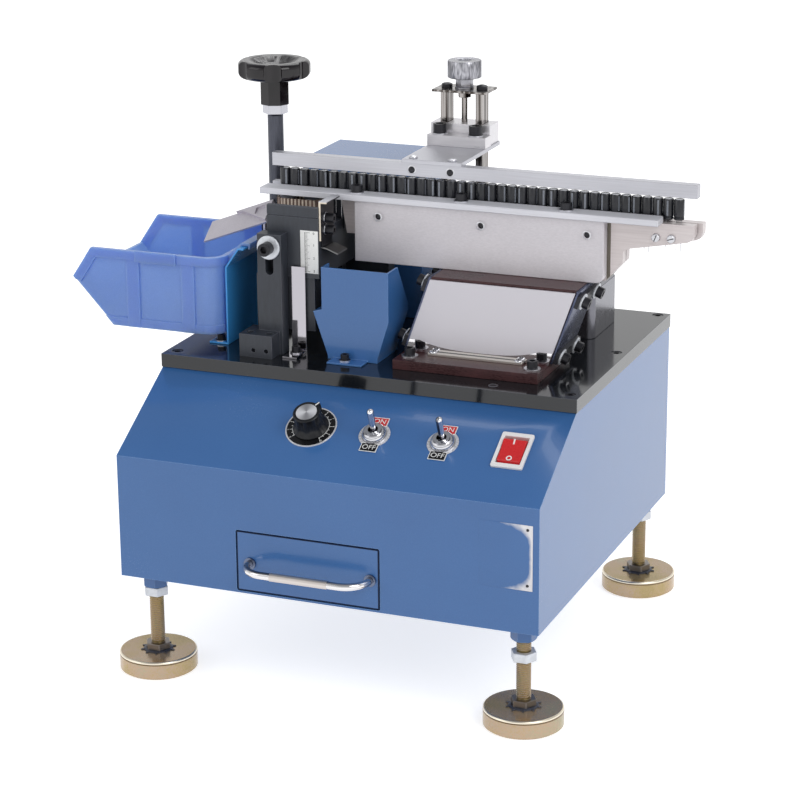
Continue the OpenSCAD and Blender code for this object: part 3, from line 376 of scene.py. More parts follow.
# %% plastics and laminate
surface(
    "brown_laminate", (52, 29, 31), (76, 46, 48), (0.24, 0.36), level=0.3, size=1100, stretch=(0.25, 1, 1),
    patch=40, bump=0.08)
bin_plastic = surface("bin_plastic", (96, 126, 186), (110, 138, 198), (0.28, 0.4), size=1400, patch=14, bump=0.08)
surface("red_plastic", (196, 30, 34), (214, 46, 48), (0.16, 0.26), bump=0.05)
surface("white_plastic", (222, 220, 220), (236, 234, 234), (0.3, 0.4), size=1200)
surface("board_green", (18, 82, 48), (30, 102, 60), (0.3, 0.45), size=500, bump=0.08, depth=0.04)
fill(shader(bin_plastic), {
    "Subsurface Weight": 0.8, "Subsurface Scale": 0.02, "Subsurface Radius": (0.5, 0.6, 1.0)})
print("plastics", list(look)[-5:])

# %% [markdown]
# Bright washers sit under black screws in one solid, and one nut on the black hand screw is bright. The
# drawing says between which levels they lie, so the finish itself changes over a band of one coordinate.

# %% banded finishes
def to_metal(finish, mask, colour, rough):
    """Turns a finish to another metal where a mask is one."""
    overlay(finish, "Base Color", mask, tone(*colour))
    overlay(finish, "Roughness", mask, rough)
    metal = shader(finish).inputs["Metallic"]
    if metal.is_linked or metal.default_value < 1:
        overlay(finish, "Metallic", mask, 1.0)


def banded(finish, name, bands):
    """A copy of a finish that turns to another metal where a coordinate lies inside a band."""
    copy = look[name] = look[finish].copy()
    copy.name = name
    tree = copy.node_tree
    tree.links.new(tree.nodes["tones"].outputs["Color"], shader(copy).inputs["Base Color"])
    place = place_of(tree)
    for axis, low, high, colour, rough in bands:
        middle, half = home["XYZ".index(axis)] + (low + high) / 2 * MM, (high - low) / 2 * MM
        away = calc("ABSOLUTE", calc("SUBTRACT", place[axis], middle))
        to_metal(copy, calc("LESS_THAN", away, half), colour, rough)
    return copy


DECK, LEDGE, RAIL, SHEET, WASHER = 151.3, 158.7, 269.2, 1.5, 0.9
FLOOR, CUP_TOP, NUT_TOP, STUD_TOP = -79.0, 14.6, 20.7, 66.5
BRIGHT, CUP_LEVEL, NUT_LEVEL = (214, 214, 219), FLOOR + CUP_TOP, FLOOR + NUT_TOP
banded("screw_black", "base_screw_finish", [
    ("Z", low - 0.1, low + WASHER, BRIGHT, 0.3) for low in (LEDGE, DECK + SHEET)])
banded("screw_black", "track_screw_finish", [("Z", RAIL - 0.1, RAIL + WASHER, BRIGHT, 0.3)])
banded("screw_black", "head_screw_finish", [("X", -50.4, -50.3 + WASHER, BRIGHT, 0.3)])
banded("screw_black", "guide_screw_finish", [("Z", 295, 304.6 + WASHER, BRIGHT, 0.3)])
banded("sleeve_black", "hand_screw_finish", [("Z", 318.2, 325.6, (190, 190, 196), 0.25)])
banded("screw_black", "guard_finish", [
    ("Y", 120.9, 121.8, (206, 196, 180), 0.3), ("Z", 226, 233.4, (122, 122, 122), 0.4),
    ("Z", 268.6, 269.2, (206, 206, 211), 0.5)])
# feet: a painted highlight ring just under the cup top with a painted shade line below it, and painted shade on the
# stud between its thread ridges
banded("yellow_zinc", "foot_finish", [
    ("Z", CUP_LEVEL - 1.7, CUP_LEVEL - 0.05, (240, 230, 210), 0.3),
    ("Z", CUP_LEVEL - 2.7, CUP_LEVEL - 1.7, (104, 84, 60), 0.4),
    ("Z", CUP_LEVEL + 0.1, NUT_LEVEL, (134, 128, 124), 0.3),
    ("Z", NUT_LEVEL, FLOOR + STUD_TOP, (136, 118, 80), 0.35)])
banded("handle_chrome", "handle_finish", [
    ("X", -33, 12, (206, 199, 194), 0.34), ("Y", -2.2, 0.2, (104, 112, 132), 0.2)])
# feeder cover: the bright band is its polished strip, the dark band is painted shade in the groove along it
cover_finish = banded("cover_sheet", "cover_finish", [
    ("Z", LEDGE - 0.1, LEDGE + 2.3, (228, 222, 214), 0.3), ("Y", 124.6, 125.88, (40, 36, 34), 0.5)])
# track plates: a dark line just right of the beam's end, painted shade of the gap there
banded("stainless", "plate_finish", [("X", 160.6, 163.4, (112, 107, 98), 0.5)])
print("banded", list(look)[-10:])

# %% [markdown]
# The lowest part of the feeder cover is polished and mirrors the strip and the screws in front of it. The
# mirror reaches higher towards both ends, so its upper edge is a curve.

# %% mirror foot of the cover
MIRROR_LOW, MIRROR_HIGH, MIRROR_CURVE = 4.2, 9.8, 10
COVER_MIDDLE, COVER_HALF, COVER_FRONT = 73.5, 56.75, 126.0
place = place_of(cover_finish.node_tree)
off_middle = calc("ABSOLUTE", calc("SUBTRACT", place["X"], home.x + COVER_MIDDLE * MM))
curve = calc("POWER", calc("DIVIDE", off_middle, COVER_HALF * MM), 3)
limit = calc("ADD", calc("MULTIPLY", curve, MIRROR_CURVE * MM), home.z + (LEDGE + MIRROR_LOW) * MM)
limit = calc("MINIMUM", limit, home.z + (LEDGE + MIRROR_HIGH) * MM)
on_face = calc("GREATER_THAN", place["Y"], home.y + (COVER_FRONT - 0.1) * MM)
inside = calc("MULTIPLY", calc("LESS_THAN", place["Z"], limit), on_face)
to_metal(cover_finish, inside, (222, 220, 222), 0.05)
print("mirror foot", MIRROR_LOW, "to", MIRROR_HIGH)

# %% [markdown]
# The drawer front closes with an open seam, and the seam's shade is painted: four narrow dark bands just
# inside the outline widen its dark line, so the drawer reads as a piece of its own.

# %% drawer seam shade
SEAM_SHADE_WIDTH, SEAM_SHADE_TONE = 1.0, (16, 30, 58)
front_low, front_high = ((corner - home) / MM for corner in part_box("drawer_front"))
# painted shade of the seam, laid on the rim of the drawer front
banded("blue_enamel", "drawer_seam_shade", [
    (axis, start, start + SEAM_SHADE_WIDTH, SEAM_SHADE_TONE, 0.5) for i, axis in ((0, "X"), (2, "Z"))
    for start in (front_low[i], front_high[i] - SEAM_SHADE_WIDTH)])
print("drawer front", [round(v, 1) for v in front_high - front_low])

# %% [markdown]
# The feed belt has cream ribs on brown rubber. The ribs stand three millimetres apart along the straight run,
# so a cosine of the drawing coordinate picks the tone.

# %% belt
BELT_PITCH, FIRST_RIB = 3.0, -93.1
belt_rubber = surface("belt_rubber", (104, 84, 76), (122, 100, 90), (0.5, 0.65), bump=0.1, depth=0.06)
along = calc("SUBTRACT", place_of(belt_rubber.node_tree)["X"], home.x + FIRST_RIB * MM)
wave = calc("COSINE", calc("MULTIPLY", along, 2 * pi / (BELT_PITCH * MM)))
overlay(belt_rubber, "Base Color", spread(wave, -0.2, 0.5), tone(196, 182, 166))
print("belt pitch", BELT_PITCH)

# %% [markdown]
# No real edge is perfectly sharp: a small break catches the light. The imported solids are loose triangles, so
# a Weld joins them, a Decimate clears lines inside planes, a node group shades smooth below an angle, a Bevel
# breaks the edges and weighted normals keep flats flat. The meshes stay as they are.

# %% edge breaks
SMOOTH_BELOW, BREAK_ABOVE, FLAT_WITHIN = (radians(a) for a in (34, 40, 0.5))
WELD_WITHIN = 2e-6
soften = bpy.data.node_groups.new("smooth_below_an_angle", "GeometryNodeTree")
for way in ("INPUT", "OUTPUT"):
    soften.interface.new_socket("Geometry", in_out=way, socket_type="NodeSocketGeometry")
into = soften.nodes.new("NodeGroupInput").outputs[0]
forget = node(soften, "GeometryNodeRemoveAttribute", {"Geometry": into, "Name": "custom_normal"}).outputs[0]
faces = node(soften, "GeometryNodeSetShadeSmooth", {"Geometry": forget}).outputs[0]
angle = soften.nodes.new("GeometryNodeInputMeshEdgeAngle").outputs["Unsigned Angle"]
gentle = node(soften, "FunctionNodeCompare", {"A": angle, "B": SMOOTH_BELOW}, operation="LESS_EQUAL").outputs[0]
edges = node(soften, "GeometryNodeSetShadeSmooth", {"Geometry": faces, "Shade Smooth": gentle}, domain="EDGE")
node(soften, "NodeGroupOutput", {0: edges.outputs[0]})


def dress(finish, edge, *names):
    """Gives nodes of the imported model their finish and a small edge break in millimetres."""
    for name in names:
        solid = nodes[name]
        if not solid.material_slots:
            solid.data.materials.append(None)
        for slot in solid.material_slots:
            slot.material = look[finish]
        solid.modifiers.new("weld", "WELD").merge_threshold = WELD_WITHIN
        plane = solid.modifiers.new("whole_planes", "DECIMATE")
        plane.decimate_type, plane.angle_limit = "DISSOLVE", FLAT_WITHIN
        solid.modifiers.new("shading", "NODES").node_group = soften
        if edge:
            trim = solid.modifiers.new("edge_break", "BEVEL")
            trim.width, trim.segments, trim.limit_method = edge * MM, 2, "ANGLE"
            trim.angle_limit, trim.face_strength_mode = BREAK_ABOVE, "FSTR_ALL"
            flats = solid.modifiers.new("flat_faces", "WEIGHTED_NORMAL")
            flats.keep_sharp, flats.use_face_influence = True, True


print("edge breaks ready, smooth below", round(degrees(SMOOTH_BELOW)), "degrees")

# %% [markdown]
# Now each solid gets its finish. The edge break follows the part: folded sheet is generous, ground blocks are
# crisp, and small screws only lose their sharpness.

# %% dress the cabinet
dress("blue_enamel", 0.7, "cabinet_shell", "base_panels", "lead_hopper", "drive_cover")
dress("drawer_seam_shade", 0.5, "drawer_front")
dress("blue_enamel", 0.3, "drawer_tray")
dress("bracket_enamel", 0.4, "bin_bracket")
dress("deck_black", 0.5, "top_plate")
dress("bin_plastic", 0.6, "parts_bin")
dress("foot_finish", 0.3, "foot_front_left", "foot_front_right", "foot_rear_left", "foot_rear_right")
dress("zinc_bright", 0.5, "foot_nuts")
dress("handle_finish", 0.0, "drawer_handle")
dress("plain_steel", 0.2, "drawer_runners", "dial_pot", "armature")
dress("tool_black", 0.3, "feed_motor")
dress("board_green", 0.2, "control_board")
dress("moulded_black", 0.4, "power_inlet", "drive_coil")
print("cabinet dressed")

# %% [markdown]
# The controls are chrome and coloured plastic, and the head is blackened steel with a few bright parts. One
# line per finish keeps the list readable.

# %% dress the controls and the head
dress("plate_silver", 0.1, "legend_plates")
dress("chrome", 0.2, "toggle_bodies")
dress("lever_chrome", 0.0, "toggle_lever_left", "toggle_lever_right")
dress("white_plastic", 0.4, "rocker_housing")
dress("red_plastic", 0.5, "rocker_button")
dress("tool_black", 0.5, "clamp_post", "head_block", "head_stand")
dress("base_screw_finish", 0.25, "base_screws")
dress("head_screw_finish", 0.2, "head_screws")
dress("mirror_steel", 0.2, "length_pointer")
dress("guard_finish", 0.15, "guard_plate")
dress("zinc_bright", 0.4, "lock_washer")
dress("belt_rubber", 0.15, "feed_belt")
dress("plain_steel", 0.2, "drive_pulley", "idler_pulley", "cutter_disc")
dress("hand_screw_finish", 0.3, "hand_screw")
dress("knob_black", 0.8, "hand_knob")
dress("chute_sheet", 0.2, "outlet_chute")
print("controls and head dressed")

# %% [markdown]
# The feeder mixes brown laminate with a bright cover, and track and guide are all bright metal. Where bright
# parts meet, their different finishes let the eye tell them apart.

# %% dress the feeder, the track and the guide
dress("brown_laminate", 0.4, "feeder_base", "feeder_top")
dress("cover_finish", 0.25, "feeder_cover")
dress("machined_alu", 0.5, "track_beam")
dress("plate_finish", 0.3, "track_plates")
dress("bar_alu", 0.4, "track_rails")
dress("guide_alu", 0.4, "guide_arm")
dress("track_screw_finish", 0.25, "track_screws")
dress("guide_screw_finish", 0.25, "guide_screws")
dress("block_steel", 0.4, "rear_block")
dress("polished_bar", 0.25, "guide_frame", "lead_screw")
dress("ground_steel", 0.3, "carriage_block")
print("feeder and track dressed")

# %% [markdown]
# New detail is drawn in millimetres and moved into the frame at the end, so each finished object sits at the
# origin. A turned part is a profile spun about an axis.

# %% helpers for new pieces
def spin(bm, geom, turn, steps, **ways):
    bmesh.ops.spin(bm, geom=geom, cent=(0, 0, 0), axis=(0, 0, 1), angle=turn, steps=steps,
                   use_duplicate=False, **ways)


def outward(bm):
    bmesh.ops.recalc_face_normals(bm, faces=bm.faces[:])


def merge(bm):
    bmesh.ops.remove_doubles(bm, verts=bm.verts[:], dist=1e-5)


def break_edges(bm, edges, width, segments=2):
    bmesh.ops.bevel(bm, geom=edges, offset=width, offset_type="OFFSET", affect="EDGES", segments=segments,
                    profile=0.5, material=-1)


def lathe(profile, steps=48):
    """Spins a half profile of radius and height about Z. One that touches the axis stays open."""
    bm = bmesh.new()
    verts = [bm.verts.new((radius, 0, height)) for radius, height in profile]
    closing = [(verts[-1], verts[0])] if all(radius for radius, height in profile) else []
    pairs = list(zip(verts, verts[1:])) + closing
    spin(bm, verts + [bm.edges.new(pair) for pair in pairs], 2 * pi, steps, use_merge=True)
    merge(bm)
    outward(bm)
    return bm


def sweep(outline, turn, steps, **ways):
    """Carries a closed outline of radius and height about Z."""
    bm = bmesh.new()
    face = bm.faces.new([bm.verts.new((radius, 0, height)) for radius, height in outline])
    spin(bm, [face] + face.edges[:] + face.verts[:], turn, steps, **ways)
    outward(bm)
    return bm


def block(low, high, bevel=0.0):
    """A rectangular piece between two corners, with broken edges."""
    low, high = Vector(low), Vector(high)
    bm = bmesh.new()
    place = Matrix.Translation((low + high) / 2) @ Matrix.Diagonal((*(high - low), 1))
    bmesh.ops.create_cube(bm, size=1, matrix=place)
    if bevel:
        break_edges(bm, bm.edges[:], bevel)
    return bm


def at(x, y, z):
    return Matrix.Translation((x, y, z))


def rotated(angle, axis="Z"):
    return Matrix.Rotation(angle, 4, axis)


print("helpers for drawings ready")

# %% [markdown]
# Small drawings are gathered into larger ones, and a finished drawing becomes an object that rides on a body
# of the machine. A piece between two bodies rides on none.

# %% from drawing to piece
def add(bm, part, place=Matrix()):
    """Copies a small drawing into a larger one at a place."""
    part.transform(place)
    spare = bpy.data.meshes.new("spare")
    part.to_mesh(spare)
    part.free()
    bm.from_mesh(spare)
    bpy.data.meshes.remove(spare)


def gather(placed):
    """One drawing from pairs of a part and its place."""
    bm = bmesh.new()
    for part, place in placed:
        add(bm, part, place)
    return bm


def make(name, bm, finish, body, place=Matrix(), smooth=34):
    """Moves a drawing into the frame as a finished object that rides on a body."""
    bm.transform(into_frame @ place)
    for face in bm.faces:
        face.smooth = True
    for edge in bm.edges:
        edge.smooth = len(edge.link_faces) == 2 and edge.calc_face_angle(0) < radians(smooth)
    mesh = bpy.data.meshes.new(name)
    bm.to_mesh(mesh)
    bm.free()
    piece = new_object(name, mesh)
    mesh.materials.append(look[finish])
    if body:
        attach(piece, body)
    print(name, len(mesh.polygons), "faces on", body or "two bodies")
    return piece


print("helpers for pieces ready")

# %% [markdown]
# The levelling studs are rolled threads. A small tooth profile is spun with a rise per step, and the ridge
# winds round the plain stud between the cup and the lock nut.

# %% stud threads
FEET = {"foot_fl": (-147, 20.5), "foot_fr": (147, 20.5), "foot_rl": (-147, 305.5), "foot_rr": (147, 305.5)}
THREAD_PITCH, ROOT_R, CREST_R, STEPS = 1.5, 4.85, 5.5, 20
TURNS, TURNS_UNDER_NUT, TURNS_OVER_NUT, OVER_NUT = 24, 18, 4, 37.6


def thread(bottom, turns):
    tooth = [(ROOT_R, bottom - 0.62), (CREST_R, bottom - 0.1), (CREST_R, bottom + 0.1), (ROOT_R, bottom + 0.62)]
    return sweep(tooth, 2 * pi * turns, STEPS * turns, dvec=(0, 0, THREAD_PITCH / STEPS))


for body, (x, y) in FEET.items():
    low_nut = body == "foot_fr"
    bm = thread(NUT_TOP + 0.8, TURNS_UNDER_NUT if low_nut else TURNS)
    if low_nut:
        add(bm, thread(NUT_TOP + OVER_NUT, TURNS_OVER_NUT))
    make("stud_thread_" + body[-2:], bm, "yellow_zinc", body, at(x, y, FLOOR))

# %% [markdown]
# Under each stud nut lies a star washer, a dished ring whose teeth bite into the cup. A spun ring is the
# body, and small wedges set round it are the teeth.

# %% star washers
TEETH = 10


def star_washer():
    bm = lathe([(9.0, 0.0), (9.0, 1.3), (10.4, 1.1), (11.2, 0.5), (11.2, 0.0)], 40)
    for i in range(TEETH):
        tooth = block((10.4, -1.2, 0.0), (13.4, 1.2, 1.0))
        for vert in tooth.verts:
            if vert.co.x > 12:
                vert.co.y *= 0.45
                vert.co.z *= 0.7
        break_edges(tooth, tooth.edges[:], 0.12, 1)
        add(bm, tooth, rotated(2 * pi * i / TEETH))
    return bm


for body, (x, y) in FEET.items():
    make("star_washer_" + body[-2:], star_washer(), "sleeve_black", body, at(x, y, CUP_LEVEL))

# %% [markdown]
# The controls sit on the sloped panel. One matrix per control carries drawings from flat paper on to the
# slope: X stays across, Y runs up the slope and Z stands off it.

# %% panel places
SLOPE, ROW_UP, FRONT_TOP = atan(46 / 80), 49, 95
DIAL_X, SWITCH_X, ROCKER_X = -26, (24, 77), 130


def on_panel(x):
    return at(x, ROW_UP * cos(SLOPE), FRONT_TOP + ROW_UP * sin(SLOPE)) @ rotated(SLOPE, "X")


dial_place = on_panel(DIAL_X)
print("slope", round(degrees(SLOPE), 2), "degrees")

# %% [markdown]
# The dial plate is black enamel inside a bright rim, with a printed white scale. The face is a spun ring, the
# scale an arc with twenty-one ticks and a number at every other one.

# %% dial face and scale
PRINT_LOW, PRINT_HIGH, ARC, TICKS = 0.94, 1.03, 270, 21
surface("black_enamel", (12, 12, 14), (20, 20, 23), (0.2, 0.3), level=0.3, bump=0.04, depth=0.02)
surface("white_print", (226, 226, 224), (240, 240, 238), (0.4, 0.5), size=1500, bump=0.05, depth=0.01)
make("dial_face", lathe([(4.8, 0.8), (4.8, 0.96), (18.2, 0.96), (18.4, 0.8)], 72), "black_enamel", "base",
     dial_place)


def letters(word, height, thick, thin=0.0):
    """Printed signs as a thin mesh, centred on the origin."""
    curve = bpy.data.curves.new("print", "FONT")
    curve.body, curve.size, curve.extrude, curve.offset = word, height, thick / 2, -thin
    curve.align_x, curve.align_y = "CENTER", "CENTER"
    sign = new_object("print", curve)
    bpy.context.view_layer.update()
    flat = bpy.data.meshes.new_from_object(sign.evaluated_get(bpy.context.evaluated_depsgraph_get()))
    bm = bmesh.new()
    bm.from_mesh(flat)
    merge(bm)
    bpy.data.objects.remove(sign)
    bpy.data.curves.remove(curve)
    bpy.data.meshes.remove(flat)
    return bm


line = [(13.6, PRINT_LOW), (14.0, PRINT_LOW), (14.0, PRINT_HIGH), (13.6, PRINT_HIGH)]
bm = gather([(sweep(line, radians(ARC), 54), rotated(radians(-45)))])
for i in range(TICKS):
    turn = rotated(radians(ARC / 2 - ARC / (TICKS - 1) * i))
    numbered = i % 2 == 0
    add(bm, block((-0.2, 13.8, PRINT_LOW), (0.2, 15.8 if numbered else 15.0, PRINT_HIGH)), turn)
    if numbered:
        add(bm, letters(str(i // 2), 2.2, 0.08), turn @ at(0, 17.0, 0.98))
make("dial_scale", bm, "white_print", "base", dial_place)

# %% [markdown]
# The dial knob is a moulded skirted knob with flat flutes. The profile is spun in fine steps and the wall is
# pulled in over part of every forty degrees, which leaves the flutes; a ridge carries the white pointer line.

# %% dial knob
FLUTE, POINTER = 40, rotated(radians(-32))
bm = lathe([(0, -11), (3, -11), (3, 1.2), (13.4, 1.2), (13.5, 2.0), (12.2, 4.2), (11.2, 6.0), (10.8, 9.0),
            (10.4, 15.0), (10.3, 16.4), (9.7, 17.0), (8.2, 17.0), (7.9, 16.6), (0, 16.6)], 72)
for vert in bm.verts:
    spot = degrees(atan2(vert.co.y, vert.co.x)) % FLUTE
    if 2.5 < vert.co.z < 15.5 and 9 < spot < 31:
        vert.co.xy *= 0.9
add(bm, block((-1.5, 7.9, 9.0), (1.5, 12.2, 17.0), 0.4), POINTER)
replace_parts(make("dial_grip", bm, "moulded_black", "dial", dial_place, 24), "dial_knob")
make("dial_pointer", block((-0.45, 8.4, 16.95), (0.45, 12.25, 17.1), 0.05), "white_print", "dial",
     dial_place @ POINTER)

# %% [markdown]
# The knob carries a spun aluminium disc. The lathe leaves rings too fine to see that spread the light in a
# fan of four sectors. The profile has shallow grooves, and that fan of light is painted: the angle about the
# knob darkens two opposite sectors.

# %% dial insert
PAINTED_FAN_TURN, RINGS = 0.7, 20
spun_alu = surface("spun_alu", (230, 230, 233), (240, 240, 243), (0.16, 0.24), metal=0.5, bump=0.03, depth=0.02)
place = place_of(spun_alu.node_tree)
centre = into_frame @ dial_place @ Vector((0, 0, 17))
across = calc("SUBTRACT", place["X"], centre.x)
along = calc("ADD", calc("MULTIPLY", place["Y"], cos(SLOPE)), calc("MULTIPLY", place["Z"], sin(SLOPE)))
along = calc("SUBTRACT", along, centre.y * cos(SLOPE) + centre.z * sin(SLOPE))
turn = calc("MULTIPLY", calc("ARCTAN2", along, across), 2)
painted_fan = calc("COSINE", calc("SUBTRACT", turn, PAINTED_FAN_TURN))
# painted highlight fan: two opposite sectors stay light, two turn darker
overlay(spun_alu, "Base Color", spread(painted_fan, 1, -1), tone(150, 150, 154))
rings = [(7.8 - 0.35 * i, 16.98 + 0.05 * (i % 2)) for i in range(1, RINGS + 1)]
make("dial_insert", lathe([(7.8, 16.6), (7.8, 16.9)] + rings + [(0, 17.02)], 64), "spun_alu", "dial",
     dial_place, 60)

# %% [markdown]
# Each toggle has a stamped legend plate with a red field above and a black field below. The fields are thin
# enamel plates with a small bevel, and words and a white border are printed on and round them.

# %% switch legends
surface("red_enamel", (186, 40, 44), (204, 56, 58), (0.2, 0.32), level=0.6, bump=0.04, depth=0.02)
BORDER = (((-6.5, -4.0), (6.5, -3.5)), ((-6.5, 3.5), (6.5, 4.0)), ((-6.5, -3.5), (-6.0, 3.5)),
          ((6.0, -3.5), (6.5, 3.5)))
for label, paint, spot, slot in (("on", "red_enamel", 12.7, "red_plastic"),
                                 ("off", "black_enamel", -12.7, "black_plastic")):
    fields, words = bmesh.new(), bmesh.new()
    for x in SWITCH_X:
        place = on_panel(x) @ at(0, spot, 0)
        add(fields, block((-6.0, -3.5, 0.74), (6.0, 3.5, 0.9), 0.06), place)
        for low, high in BORDER:
            add(words, block((*low, 0.76), (*high, 0.86), 0.03), place)
        add(words, letters(label.upper(), 6.0, 0.1, 0.04), place @ at(0, 0, 0.93))
    make(label + "_fields", fields, paint, "base")
    make(label + "_words", words, "white_print", "base")

# %% [markdown]
# A toggle is held by a domed ring nut over a lock washer. A spun profile with a rounded shoulder and a groove
# gives the concentric lines that show on the panel.

# %% toggle nuts
NUT = [(6.1, 4.7), (6.1, 5.5), (6.9, 5.6), (7.5, 5.2), (7.8, 4.5), (8.2, 4.4), (8.7, 3.6), (9.0, 2.4), (9.0, 1.6),
       (9.6, 1.5), (9.6, 0.8), (8.6, 0.8), (8.4, 2.0), (7.2, 4.7)]
make("toggle_nuts", gather((lathe(NUT), on_panel(x)) for x in SWITCH_X), "chrome", "base")

# %% [markdown]
# The rocker shows a bar on its upper half and a ring on its lower half. Both halves are flat planes that
# tilt with the button, so the marks are laid on those planes and ride with it.

# %% rocker marks
TILT, HALF_TILT, MARK_Y = radians(7), atan(1.8 / 15), 7.2
button = on_panel(ROCKER_X) @ at(0, 0, -5) @ rotated(TILT, "X")


def on_button(y):
    return button @ at(0, y, 7.4 + abs(y) * 0.12) @ rotated(copysign(HALF_TILT, y), "X")


bm = gather([(block((-0.55, -2.2, -0.05), (0.55, 2.2, 0.08), 0.05), on_button(MARK_Y)),
             (lathe([(1.35, -0.05), (1.35, 0.08), (2.2, 0.08), (2.2, -0.05)], 32), on_button(-MARK_Y))])
make("rocker_marks", bm, "white_print", "rocker")

# %% [markdown]
# A short rule on the head front shows how long the leads are left. It is a white strip with a line,
# millimetre ticks and a number at each centimetre, and it moves with the head.

# %% length rule
HEAD_FRONT, RULE_X, RULE_ZERO, RULE_LENGTH = 120.0, -62.9, 214.9, 30
upright = rotated(radians(90), "X")
make("length_rule", block((-66.6, HEAD_FRONT - 0.35, 213.5), (-52.2, HEAD_FRONT, 246.3), 0.1), "white_print", "head")
INK_FRONT, INK_BACK = HEAD_FRONT - 0.42, HEAD_FRONT - 0.3
bm = block((RULE_X - 0.1, INK_FRONT, 214.6), (RULE_X + 0.15, INK_BACK, 245.2))
for i in range(RULE_LENGTH + 1):
    z = RULE_ZERO + i
    reach = 4.2 if i % 10 == 0 else 3.2 if i % 5 == 0 else 2.2
    add(bm, block((RULE_X, INK_FRONT, z - 0.1), (RULE_X + reach, INK_BACK, z + 0.1)))
    if i % 10 == 0:
        add(bm, letters(str(3 - i // 10), 2.6, 0.1), at(-55.6, HEAD_FRONT - 0.37, min(z + 0.4, 244.4)) @ upright)
make("length_ticks", bm, "moulded_black", "head")

# %% [markdown]
# A black skirt plate hangs under the head front and keeps lead ends away from the motor. It moves with the
# head and stays clear of the deck at the lowest position.

# %% head skirt
SKIRT_LOW, SKIRT_HIGH = (-104.0, 121.0, 168.0), (-56.0, 123.0, 209.6)
make("head_skirt", block(SKIRT_LOW, SKIRT_HIGH, 0.3), "tool_black", "head")

# %% [markdown]
# Two cross-head screws hold the foot of the feeder cover. The head is a spun dome, and the cross is not cut:
# a dark pair of bars set just into the dome paints the shade of its slots.

# %% cover screws
COVER_SCREWS, STRIP_TOP = ((38.6, 123.0), (105.8, 123.0)), LEDGE + 2
DOME = [(0, 0), (3.1, 0), (3.1, 0.7), (2.7, 1.3), (1.7, 1.8), (0, 2.0)]
places = [at(x, y, STRIP_TOP) for x, y in COVER_SCREWS]
heads = gather((lathe(DOME, 32), place) for place in places)
# dark bars of painted shade stand for the slots of the cross
slot_shade = gather((block((-1.9, -0.35, 1.5), (1.9, 0.35, 2.02), 0.08), place @ rotated(turn))
               for place in places for turn in (0.4, 0.4 + pi / 2))
make("cover_screw_heads", heads, "chrome", "base")
make("cover_screw_slot_shade", slot_shade, "screw_black", "base")

# %% [markdown]
# The leaf springs are clamped by bolts with bright washers, four below on the base and four above on the
# trough. The springs lean, so each washer is turned about Y with its bolt.

# %% spring washers
LEAN, FEED_X, FEED_L, LEAF = radians(19.5), 14.0, 113.5, 2.0
BOLT_Y = (136.5, 168.8)
WASHER_RING = [(4.3, 0.0), (4.3, 1.1), (6.1, 1.1), (6.4, 0.8), (6.4, 0.0)]


def on_spring(end, z, y):
    x = FEED_X + 0.7 + (z - LEDGE) * tan(LEAN) + (FEED_L - 0.7 if end > 0 else 0)
    return at(x, y, z) @ rotated(end * pi / 2 + LEAN, "Y")


for name, z, body in (("spring_washers_low", 165.3, "base"), ("spring_washers_high", 209.0, "trough")):
    bm = gather((lathe(WASHER_RING, 40), on_spring(end, z, y) @ at(0, 0, LEAF + 3.03))
                for end in (-1, 1) for y in BOLT_Y)
    make(name, bm, "zinc_bright", body)

# %% [markdown]
# The leaf springs are strips of tempered steel, clamped to the base below and the trough above. They bend
# when the trough shakes. Each strip is drawn in short steps, and the piece rides on neither body.

# %% leaf springs
LEAF_STEPS, BEND_LOW, BEND_HIGH = 14, 172.0, 203.0
spring_low, spring_high = ((corner - home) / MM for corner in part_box("feeder_springs"))
leaf_low, leaf_high = spring_low.z + LEAF * sin(LEAN), spring_high.z - LEAF * sin(LEAN)
bm = bmesh.new()
for end in (-1, 1):
    rows = []
    for i in range(LEAF_STEPS + 1):
        z = leaf_low + (leaf_high - leaf_low) * i / LEAF_STEPS
        rows.append([bm.verts.new(on_spring(end, z, y) @ Vector((0, 0, lift)))
                     for y in (spring_low.y, spring_high.y) for lift in (0, LEAF)])
    for low, high in zip(rows, rows[1:]):
        for a, b in ((0, 1), (1, 3), (3, 2), (2, 0)):
            bm.faces.new((low[a], low[b], high[b], high[a]))
    for row in (rows[0], rows[-1]):
        bm.faces.new((row[0], row[1], row[3], row[2]))
outward(bm)
break_edges(bm, [edge for edge in bm.edges if edge.calc_face_angle(0) > 1], 0.2)
leaves = make("spring_leaves", bm, "spring_blue", None)
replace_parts(leaves, "feeder_springs")
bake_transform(leaves)

# %% [markdown]
# The row of capacitors is what the machine works on: small cans in a black shrink sleeve, with a rolled
# shoulder, a bright top and two tinned leads. A spun can with few faces is repeated along the track.

# %% capacitors
CAN_R, CAN_LOW, CAN_HIGH, PITCH, COUNT, FIRST_CAN, SLOT_Y = 3.9, 266.3, 281.5, 8.0, 40, -100.0, 169.0
CUT_X, CUT_TAIL, LONG_TAIL, LEAD_GAP = -58.1, 249.0, 240.0, 1.75
surface(
    "can_sleeve", (20, 21, 26), (36, 38, 45), (0.22, 0.34), size=300, stretch=(3, 3, 0.4), bump=0.05, depth=0.04)
surface("can_top", (176, 178, 184), (206, 208, 214), (0.2, 0.32), metal=1.0, size=500, bump=0.05)
surface("tinned_lead", (176, 176, 180), (206, 206, 210), (0.24, 0.36), metal=1.0, bump=0.03, depth=0.02)
CAN = [(0, CAN_LOW), (3.3, CAN_LOW), (CAN_R, CAN_LOW + 0.5), (CAN_R, CAN_LOW + 1.6), (3.5, CAN_LOW + 2.1),
       (CAN_R, CAN_LOW + 2.6), (CAN_R, CAN_HIGH - 0.6), (3.5, CAN_HIGH), (2.9, CAN_HIGH), (2.8, CAN_HIGH - 0.2)]
LID = [(2.85, CAN_HIGH - 0.2), (1.4, CAN_HIGH - 0.12), (0, CAN_HIGH - 0.12)]
